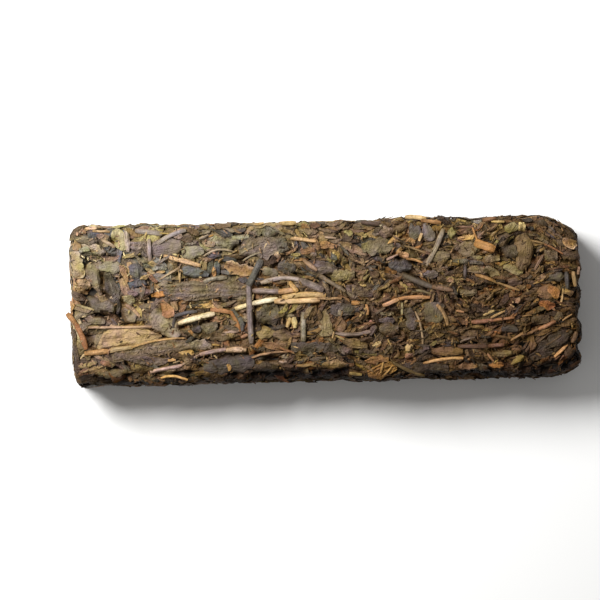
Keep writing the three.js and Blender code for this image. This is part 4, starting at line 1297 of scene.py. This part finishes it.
def block_mesh(name, spacing, rise):
    """The bed as a closed mesh of squares, raised as far as a rule says. Gives the places too."""
    counts = [int(math.ceil(2 * half / spacing)) for half in BED_HALF]
    points, faces, index = [], [], {}

    def corner(cell):
        if cell not in index:
            index[cell] = len(points)
            points.append([2 * i / n - 1 for i, n in zip(cell, counts)])
        return index[cell]

    for axis in range(3):
        p, q = (axis + 1) % 3, (axis + 2) % 3
        for side in (0, counts[axis]):
            for i in range(counts[p]):
                for j in range(counts[q]):
                    ring = []
                    for di, dj in ((0, 0), (1, 0), (1, 1), (0, 1)):
                        cell = [0, 0, 0]
                        cell[axis], cell[p], cell[q] = side, i + di, j + dj
                        ring.append(corner(tuple(cell)))
                    faces.append(ring if side else ring[::-1])
    spots, normals = settle(np.array(points) * BED_HALF)
    worn = on_surface(wear(spots + normals * rise(spots)[:, None]))
    mesh = bpy.data.meshes.new(name)
    mesh.from_pydata((worn * MM).tolist(), [], faces)
    mesh.polygons.foreach_set("use_smooth", np.ones(len(faces), bool))
    piece = bpy.data.objects.new(name, mesh)
    bpy.context.scene.collection.objects.link(piece)
    print(name, "faces:", len(faces))
    return piece, spots


core, _ = block_mesh("packed_core", CORE_SQUARE, lambda spots: ground(spots) - CORE_BELOW)

# %% [markdown]
# ## Bits in the hollows
# Pressing breaks tea, and the bits collect in the hollows between the leaves: slivers of stalk and
# crumbs of leaf, a millimetre or two long. They could be laid like the leaves, but they follow no
# pattern and need no room of their own. So a Geometry Nodes tree strews them over a temporary
# surface that follows the pressed heap, thickest where it lies low. One sliver is a ball of twenty
# faces, drawn out flat, and a noise makes each a little crooked.

# %% A tree that strews slivers over a surface
SLIVER_FORM = (1.0, 0.32, 0.16)
SMALLEST_SHARE, LARGEST_SHARE = (0.35, 0.4, 0.6), (1.0, 0.9, 1.0)
CROOK_SCALE = 900.0


def sliver_tree():
    """The tree, and the identifiers of its inputs and outputs by their labels."""
    tree = bpy.data.node_groups.new("strewn_slivers", "GeometryNodeTree")
    ports = {}
    for label, kind, way in [
        ("Surface", "NodeSocketGeometry", "INPUT"),
        ("Slivers per square metre", "NodeSocketFloat", "INPUT"),
        ("Longest", "NodeSocketFloat", "INPUT"),
        ("Crookedness", "NodeSocketFloat", "INPUT"),
        ("Seed", "NodeSocketInt", "INPUT"),
        ("Material", "NodeSocketMaterial", "INPUT"),
        ("Slivers", "NodeSocketGeometry", "OUTPUT"),
    ]:
        port = tree.interface.new_socket(name=label, in_out=way, socket_type=kind)
        ports[label] = port.identifier

    def node(kind, **values):
        made = tree.nodes.new(kind)
        for key, value in values.items():
            setattr(made, key, value)
        return made

    def link(start, output, end, socket):
        tree.links.new(start.outputs[output], end.inputs[socket])

    start, finish = node("NodeGroupInput"), node("NodeGroupOutput")
    low = node("GeometryNodeInputNamedAttribute", data_type="FLOAT")
    low.inputs["Name"].default_value = "hollow"
    density = node("ShaderNodeMath", operation="MULTIPLY")
    link(low, "Attribute", density, 0)
    link(start, "Slivers per square metre", density, 1)
    scatter = node("GeometryNodeDistributePointsOnFaces")
    link(start, "Surface", scatter, "Mesh")
    tree.links.new(density.outputs[0], scatter.inputs["Density"])
    link(start, "Seed", scatter, "Seed")
    ball = node("GeometryNodeMeshIcoSphere")
    ball.inputs["Radius"].default_value = 0.5
    ball.inputs["Subdivisions"].default_value = 1
    drawn_out = node("GeometryNodeTransform")
    drawn_out.inputs["Scale"].default_value = SLIVER_FORM
    link(ball, "Mesh", drawn_out, "Geometry")
    angle = node("FunctionNodeRandomValue", data_type="FLOAT")
    angle.inputs[3].default_value = 2 * math.pi
    spin = node("FunctionNodeAxisAngleToRotation")
    tree.links.new(angle.outputs[1], spin.inputs["Angle"])
    rotation = node("FunctionNodeRotateRotation", rotation_space="LOCAL")
    link(scatter, "Rotation", rotation, "Rotation")
    link(spin, "Rotation", rotation, "Rotate By")
    share = node("FunctionNodeRandomValue", data_type="FLOAT_VECTOR")
    share.inputs[0].default_value = SMALLEST_SHARE
    share.inputs[1].default_value = LARGEST_SHARE
    size = node("ShaderNodeVectorMath", operation="SCALE")
    tree.links.new(share.outputs[0], size.inputs[0])
    link(start, "Longest", size, "Scale")
    place = node("GeometryNodeInstanceOnPoints")
    link(scatter, "Points", place, "Points")
    link(drawn_out, "Geometry", place, "Instance")
    link(rotation, "Rotation", place, "Rotation")
    link(size, "Vector", place, "Scale")
    real = node("GeometryNodeRealizeInstances")
    link(place, "Instances", real, "Geometry")
    noise = node("ShaderNodeTexNoise")
    noise.inputs["Scale"].default_value = CROOK_SCALE
    middle = node("ShaderNodeVectorMath", operation="SUBTRACT")
    middle.inputs[1].default_value = (0.5, 0.5, 0.5)
    link(noise, "Color", middle, 0)
    crook = node("ShaderNodeVectorMath", operation="SCALE")
    tree.links.new(middle.outputs[0], crook.inputs[0])
    link(start, "Crookedness", crook, "Scale")
    move = node("GeometryNodeSetPosition")
    link(real, "Geometry", move, "Geometry")
    tree.links.new(crook.outputs[0], move.inputs["Offset"])
    coat = node("GeometryNodeSetMaterial")
    link(move, "Geometry", coat, "Geometry")
    link(start, "Material", coat, "Material")
    link(coat, "Geometry", finish, "Slivers")
    return tree, ports


# %% [markdown]
# The surface is the same block mesh as the core, raised to the top of the pressed heap. Each of
# its corners notes how far it lies below its surroundings. The tree's result becomes a plain mesh,
# and then each sliver gets one tint of its own.

# %% Strew the slivers
SLIVER_TINTS = [(136, 110, 76), (110, 90, 64), (78, 64, 48), (166, 144, 102), (122, 92, 66)]
SLIVER_SHARES = [0.22, 0.3, 0.24, 0.12, 0.12]
SLIVER_TONE_SPREAD = 0.2
SLIVER_CORNERS = 12
SLIVER_INPUTS = {
    "Slivers per square metre": 700000.0,
    "Longest": 0.0021,
    "Crookedness": 0.0004,
    "Seed": 12,
}
SURFACE_SQUARE, SURFACE_LIFT = 0.7, 0.03
HOLLOW_LEVEL, HOLLOW_REACH = 0.05, 0.35
EVERYWHERE, ON_PLACED = 0.12, 0.45


def heap_rise(spots):
    """The top of the pressed heap."""
    top = heights[cells(spots)] + hand_relief(spots)
    return pressed(top[:, None, None, None], spots[:, None, None])[:, 0, 0, 0] + SURFACE_LIFT


def strew_slivers(material):
    """Runs the tree once and gives its slivers as a plain piece."""
    surface_piece, spots = block_mesh("heap_surface", SURFACE_SQUARE, heap_rise)
    here = cells(spots)
    low = smooth((NEAR[here] - heights[here] + HOLLOW_LEVEL) / HOLLOW_REACH)
    hollow = (low + EVERYWHERE) * np.where(claimed[here], ON_PLACED, 1)
    hollow = np.where(spots[:, 2] < -INNER_HALF[2], 0, hollow)
    kept = surface_piece.data.attributes.new("hollow", "FLOAT", "POINT")
    kept.data.foreach_set("value", hollow.astype(np.float32))
    tree, ports = sliver_tree()
    strewer = surface_piece.modifiers.new("strewer", "NODES")
    strewer.node_group = tree
    for label, value in SLIVER_INPUTS.items():
        strewer[ports[label]] = value
    strewer[ports["Material"]] = material
    finished = surface_piece.evaluated_get(bpy.context.evaluated_depsgraph_get())
    mesh = bpy.data.meshes.new_from_object(finished)
    bpy.data.objects.remove(surface_piece)
    mesh.name = "slivers"
    for name in [a.name for a in mesh.attributes if a.name == "hollow"]:
        mesh.attributes.remove(mesh.attributes[name])
    count = len(mesh.vertices)
    points = np.empty(3 * count, np.float32)
    mesh.vertices.foreach_get("co", points)
    points = points.reshape(-1, SLIVER_CORNERS, 3) / MM
    middles = points.mean(axis=1)
    draws = np.random.default_rng(63)
    which = draws.choice(len(SLIVER_TINTS), len(middles), p=SLIVER_SHARES)
    tones = linear(np.array(SLIVER_TINTS))[which]
    tones = tones * np.exp(draws.normal(0, SLIVER_TONE_SPREAD, (len(middles), 1)))
    # The same painted shade as the leaves.
    tones = tones * local_shade(middles - OFF_MIDDLE) * MASS_SHADE
    tones = np.repeat(np.column_stack([tones, np.ones(len(tones))]), SLIVER_CORNERS, axis=0)
    tint = mesh.attributes.new("tint", "FLOAT_COLOR", "POINT")
    tint.data.foreach_set("color", tones.astype(np.float32).ravel())
    marks = draws.uniform(0, 1, len(middles))[:, None, None]
    within = points - middles[:, None]
    leaf = np.concatenate([within[..., :2], np.broadcast_to(marks, within[..., :1].shape)], -1)
    own = mesh.attributes.new("leaf", "FLOAT_VECTOR", "POINT")
    own.data.foreach_set("vector", leaf.astype(np.float32).ravel())
    piece = bpy.data.objects.new("slivers", mesh)
    bpy.context.scene.collection.objects.link(piece)
    print("slivers:", len(middles), "faces:", len(mesh.polygons))
    return piece


# %% [markdown]
# ## Materials
# Dry pressed tea is matt: it scatters light and hardly mirrors any. Each leaf has its own tint,
# mottled in patches, with fine wrinkles that run along it and creases that cross it. The same
# noises that make these bumps also colour the leaf, lighter on their ridges and darker in their
# valleys and creases: the tea's own mottling with painted light and shade. The wrinkles are a
# noise that is stretched along the leaf, so they turn with it. That needs coordinates that belong
# to the leaf: the attribute stored above. The more polish a leaf has, the less it is mottled,
# shaded and creased. One function makes the material, because a stalk differs from a leaf only in
# how much of each it has.

# %% A material for leaves and stalks
SPECULAR = 0.15
POLISHED = 0.4
OWN_PATTERN = 40.0
PATCH_SCALE, SPECK_SCALE, DRIFT_SCALE, FOLD_SCALE = 900.0, 2600.0, 380.0, 620.0
NOISE_LOW, NOISE_HIGH = 0.32, 0.68
CREASE_REACH = 0.05
GRAIN_DEPTH = 0.00025
YELLOWER, REDDER = (0.1, 0.06, -0.5), (0.06, -0.12, 0.4)


def tea_material(name, roughness, along, across, wrinkle, crinkle, mottle_and_painted_shade, fleck, hue):
    """Streaks per millimetre along and across, bump depths in metres, and shares of mottling and
    of painted light and shade on the bumps.
    """
    material = bpy.data.materials.new(name)
    material.use_nodes = True
    nodes, links = material.node_tree.nodes, material.node_tree.links
    shader = nodes["Principled BSDF"]
    shader.inputs["Roughness"].default_value = roughness
    shader.inputs["Specular IOR Level"].default_value = SPECULAR

    def node(kind, **inputs):
        made = nodes.new(kind)
        for key, value in inputs.items():
            made.inputs[key.replace("_", " ")].default_value = value
        return made

    def worked_out(kind, operation, *sources):
        """A maths node. Each source is a number, a vector or the output of another node."""
        made = nodes.new(kind)
        made.operation = operation
        for socket, source in zip(made.inputs, sources):
            if isinstance(source, bpy.types.NodeSocket):
                links.new(source, socket)
            else:
                socket.default_value = source
        return made.outputs[0]

    def stored(attribute, output):
        made = nodes.new("ShaderNodeAttribute")
        made.attribute_name = attribute
        return made.outputs[output]

    def noise(place, scale, detail, rough, distortion=0.0):
        made = node(
            "ShaderNodeTexNoise",
            Scale=scale, Detail=detail, Roughness=rough, Distortion=distortion,
        )
        links.new(place, made.inputs["Vector"])
        return made.outputs["Fac"]

    def ranged(source, start, end, low, high):
        made = node("ShaderNodeMapRange", From_Min=start, From_Max=end, To_Min=low, To_Max=high)
        links.new(source, made.inputs["Value"])
        return made.outputs["Result"]

    def shade_of(source, spread):
        return ranged(source, NOISE_LOW, NOISE_HIGH, 1 - spread, 1 + spread)

    def times(a, b):
        return worked_out("ShaderNodeMath", "MULTIPLY", a, b)

    def bumped(height, depth, below=None):
        made = node("ShaderNodeBump", Strength=1.0, Distance=depth)
        links.new(height, made.inputs["Height"])
        if below:
            links.new(below, made.inputs["Normal"])
        return made.outputs["Normal"]

    place = nodes.new("ShaderNodeTexCoord").outputs["Object"]
    stretch = (along, across, OWN_PATTERN)
    own_place = worked_out("ShaderNodeVectorMath", "MULTIPLY", stored("leaf", "Vector"), stretch)
    streaks = noise(own_place, 1.0, 4.0, 0.6)
    patches = noise(place, PATCH_SCALE, 4.0, 0.65)
    specks = noise(place, SPECK_SCALE, 2.0, 0.6)
    drift = noise(place, DRIFT_SCALE, 2.0, 0.5)
    folds = noise(place, FOLD_SCALE, 3.0, 0.6, distortion=0.6)

    # Painted light and shade on the bumps: the leaf is coloured lighter on the ridges of the
    # streaks and patches and darker in their valleys and in the creases, on top of its own
    # mottling.
    off_middle = worked_out("ShaderNodeMath", "SUBTRACT", folds, 0.5)
    crease = worked_out("ShaderNodeMath", "ABSOLUTE", off_middle)
    crease_shade = ranged(crease, 0.0, CREASE_REACH, 1 - mottle_and_painted_shade, 1.0)
    broad = times(shade_of(patches, mottle_and_painted_shade), shade_of(streaks, mottle_and_painted_shade))
    fine = times(shade_of(specks, fleck), crease_shade)
    rough_share = ranged(stored("polish", "Fac"), 0.0, 1.0, 1.0, POLISHED)
    shade = worked_out("ShaderNodeMath", "POWER", times(broad, fine), rough_share)

    scaled = nodes.new("ShaderNodeVectorMath")
    scaled.operation = "SCALE"
    links.new(stored("tint", "Color"), scaled.inputs[0])
    links.new(shade, scaled.inputs["Scale"])
    hues = nodes.new("ShaderNodeMix")
    hues.data_type = "RGBA"
    hues.inputs["A"].default_value = (*[1 + part * hue for part in YELLOWER], 1)
    hues.inputs["B"].default_value = (*[1 + part * hue for part in REDDER], 1)
    links.new(ranged(drift, NOISE_LOW, NOISE_HIGH, 0.0, 1.0), hues.inputs["Factor"])
    tinted = scaled.outputs[0], hues.outputs["Result"]
    links.new(worked_out("ShaderNodeVectorMath", "MULTIPLY", *tinted), shader.inputs["Base Color"])

    wrinkles = bumped(streaks, wrinkle)
    grain = bumped(times(patches, rough_share), GRAIN_DEPTH, wrinkles)
    creases = bumped(times(crease, rough_share), crinkle, grain)
    links.new(creases, shader.inputs["Normal"])
    return material


leaf_finish = tea_material(
    "dry_leaf", roughness=0.55, along=0.4, across=1.6,
    wrinkle=0.0005, crinkle=0.0016, mottle_and_painted_shade=0.25, fleck=0.2, hue=0.5,
)
stalk_finish = tea_material(
    "dry_stalk", roughness=0.5, along=0.25, across=4.0,
    wrinkle=0.0003, crinkle=0.0003, mottle_and_painted_shade=0.3, fleck=0.15, hue=0.2,
)
for name, piece in kinds.items():
    piece.data.materials.append(stalk_finish if name == "stalks" else leaf_finish)


# %% [markdown]
# The core shows only as dark gaps between the leaves. A plain noise from nearly black to dark
# brown is enough for it: partly the tea's own dark brown and partly painted shade for the gaps.
# The slivers take the leaves' material, as they are bits of leaf.

# %% The core's material
# Painted shade: the core is darker than the leaves, for the gaps between them.
CORE_COLOURS = [(0.35, (26, 21, 15)), (0.7, (62, 52, 38))]
core_finish = bpy.data.materials.new("packed_inside")
core_finish.use_nodes = True
core_shader = core_finish.node_tree.nodes["Principled BSDF"]
core_shader.inputs["Roughness"].default_value = 0.8
core_noise = core_finish.node_tree.nodes.new("ShaderNodeTexNoise")
core_noise.inputs["Scale"].default_value = 700.0
core_place = core_finish.node_tree.nodes.new("ShaderNodeTexCoord")
core_ramp = core_finish.node_tree.nodes.new("ShaderNodeValToRGB")
for stop, (position, colour) in zip(core_ramp.color_ramp.elements, CORE_COLOURS):
    stop.position = position
    stop.color = (*linear(colour), 1)
core_links = core_finish.node_tree.links
core_links.new(core_place.outputs["Object"], core_noise.inputs["Vector"])
core_links.new(core_noise.outputs["Fac"], core_ramp.inputs["Fac"])
core_links.new(core_ramp.outputs["Color"], core_shader.inputs["Base Color"])
core.data.materials.append(core_finish)
slivers = strew_slivers(leaf_finish)
print("materials:", [material.name for material in bpy.data.materials])

# %% [markdown]
# ## Floor, light and camera
# The bar lies on a plain white floor. One large soft light stands upper left, as the shadows under
# the stalks show, and a pale sky fills in. The camera looks straight down with a long lens, turned
# a degree so that the bar lies in the picture as it does in the photograph.

# %% Floor and lights
FLOOR_HALF = 1.5
FLOOR_COLOUR, SKY_COLOUR = (0.86, 0.86, 0.85, 1), (0.95, 0.94, 0.93, 1)
SKY_STRENGTH = 0.31
KEY_PLACE, KEY_SIZE, KEY_WATTS = (-0.22, 0.19, 0.26), 0.22, 3.15
floor_mesh = bpy.data.meshes.new("floor")
around = [(-1, -1), (1, -1), (1, 1), (-1, 1)]
floor_corners = [(x * FLOOR_HALF, y * FLOOR_HALF, 0) for x, y in around]
floor_mesh.from_pydata(floor_corners, [], [(0, 1, 2, 3)])
floor = bpy.data.objects.new("floor", floor_mesh)
bpy.context.scene.collection.objects.link(floor)
floor_finish = bpy.data.materials.new("white_floor")
floor_finish.use_nodes = True
floor_shader = floor_finish.node_tree.nodes["Principled BSDF"]
floor_shader.inputs["Base Color"].default_value = FLOOR_COLOUR
floor_shader.inputs["Roughness"].default_value = 0.9
floor_mesh.materials.append(floor_finish)

lamp = bpy.data.lights.new("key", "AREA")
lamp.shape = "DISK"
lamp.size = KEY_SIZE
lamp.energy = KEY_WATTS
key = bpy.data.objects.new("key", lamp)
bpy.context.scene.collection.objects.link(key)
key.location = KEY_PLACE
key.rotation_euler = (-key.location).to_track_quat("-Z", "Y").to_euler()
world = bpy.data.worlds.new("pale_sky")
world.use_nodes = True
sky = world.node_tree.nodes["Background"]
sky.inputs["Color"].default_value = SKY_COLOUR
sky.inputs["Strength"].default_value = SKY_STRENGTH
bpy.context.scene.world = world
bpy.context.scene.view_settings.view_transform = "Standard"
print("key light in metres from the bar:", round(key.location.length, 2))

# %% Camera
PIXELS_PER_MM = 4.39
PICTURE_PIXELS = 600
MIDDLE_PIXEL = (326, 301.5)
TURN = math.radians(1.15)
CAMERA_HEIGHT = 0.8
SENSOR = 36
lens_data = bpy.data.cameras.new("camera")
camera = bpy.data.objects.new("camera", lens_data)
bpy.context.scene.collection.objects.link(camera)
right = (PICTURE_PIXELS / 2 - MIDDLE_PIXEL[0]) / PIXELS_PER_MM
up = (MIDDLE_PIXEL[1] - PICTURE_PIXELS / 2) / PIXELS_PER_MM
aim_x = right * math.cos(TURN) + up * math.sin(TURN) + OFF_MIDDLE[0]
aim_y = -right * math.sin(TURN) + up * math.cos(TURN) + OFF_MIDDLE[1]
camera.location = (aim_x * MM, aim_y * MM, CAMERA_HEIGHT + THICKNESS * MM)
camera.rotation_euler = (0, 0, -TURN)
lens_data.sensor_width = SENSOR
lens_data.lens = SENSOR * CAMERA_HEIGHT / (PICTURE_PIXELS / PIXELS_PER_MM * MM)
bpy.context.scene.camera = camera
print("lens in mm:", round(lens_data.lens, 1))

# %% [markdown]
# ## Tying the bar to the frame
# Every piece belongs to the one body and stands in for the plain solid, which is hidden.

# %% Tie every piece to the frame
for piece in [core, slivers, *kinds.values()]:
    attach(piece, "root")
    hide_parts("tea_brick")
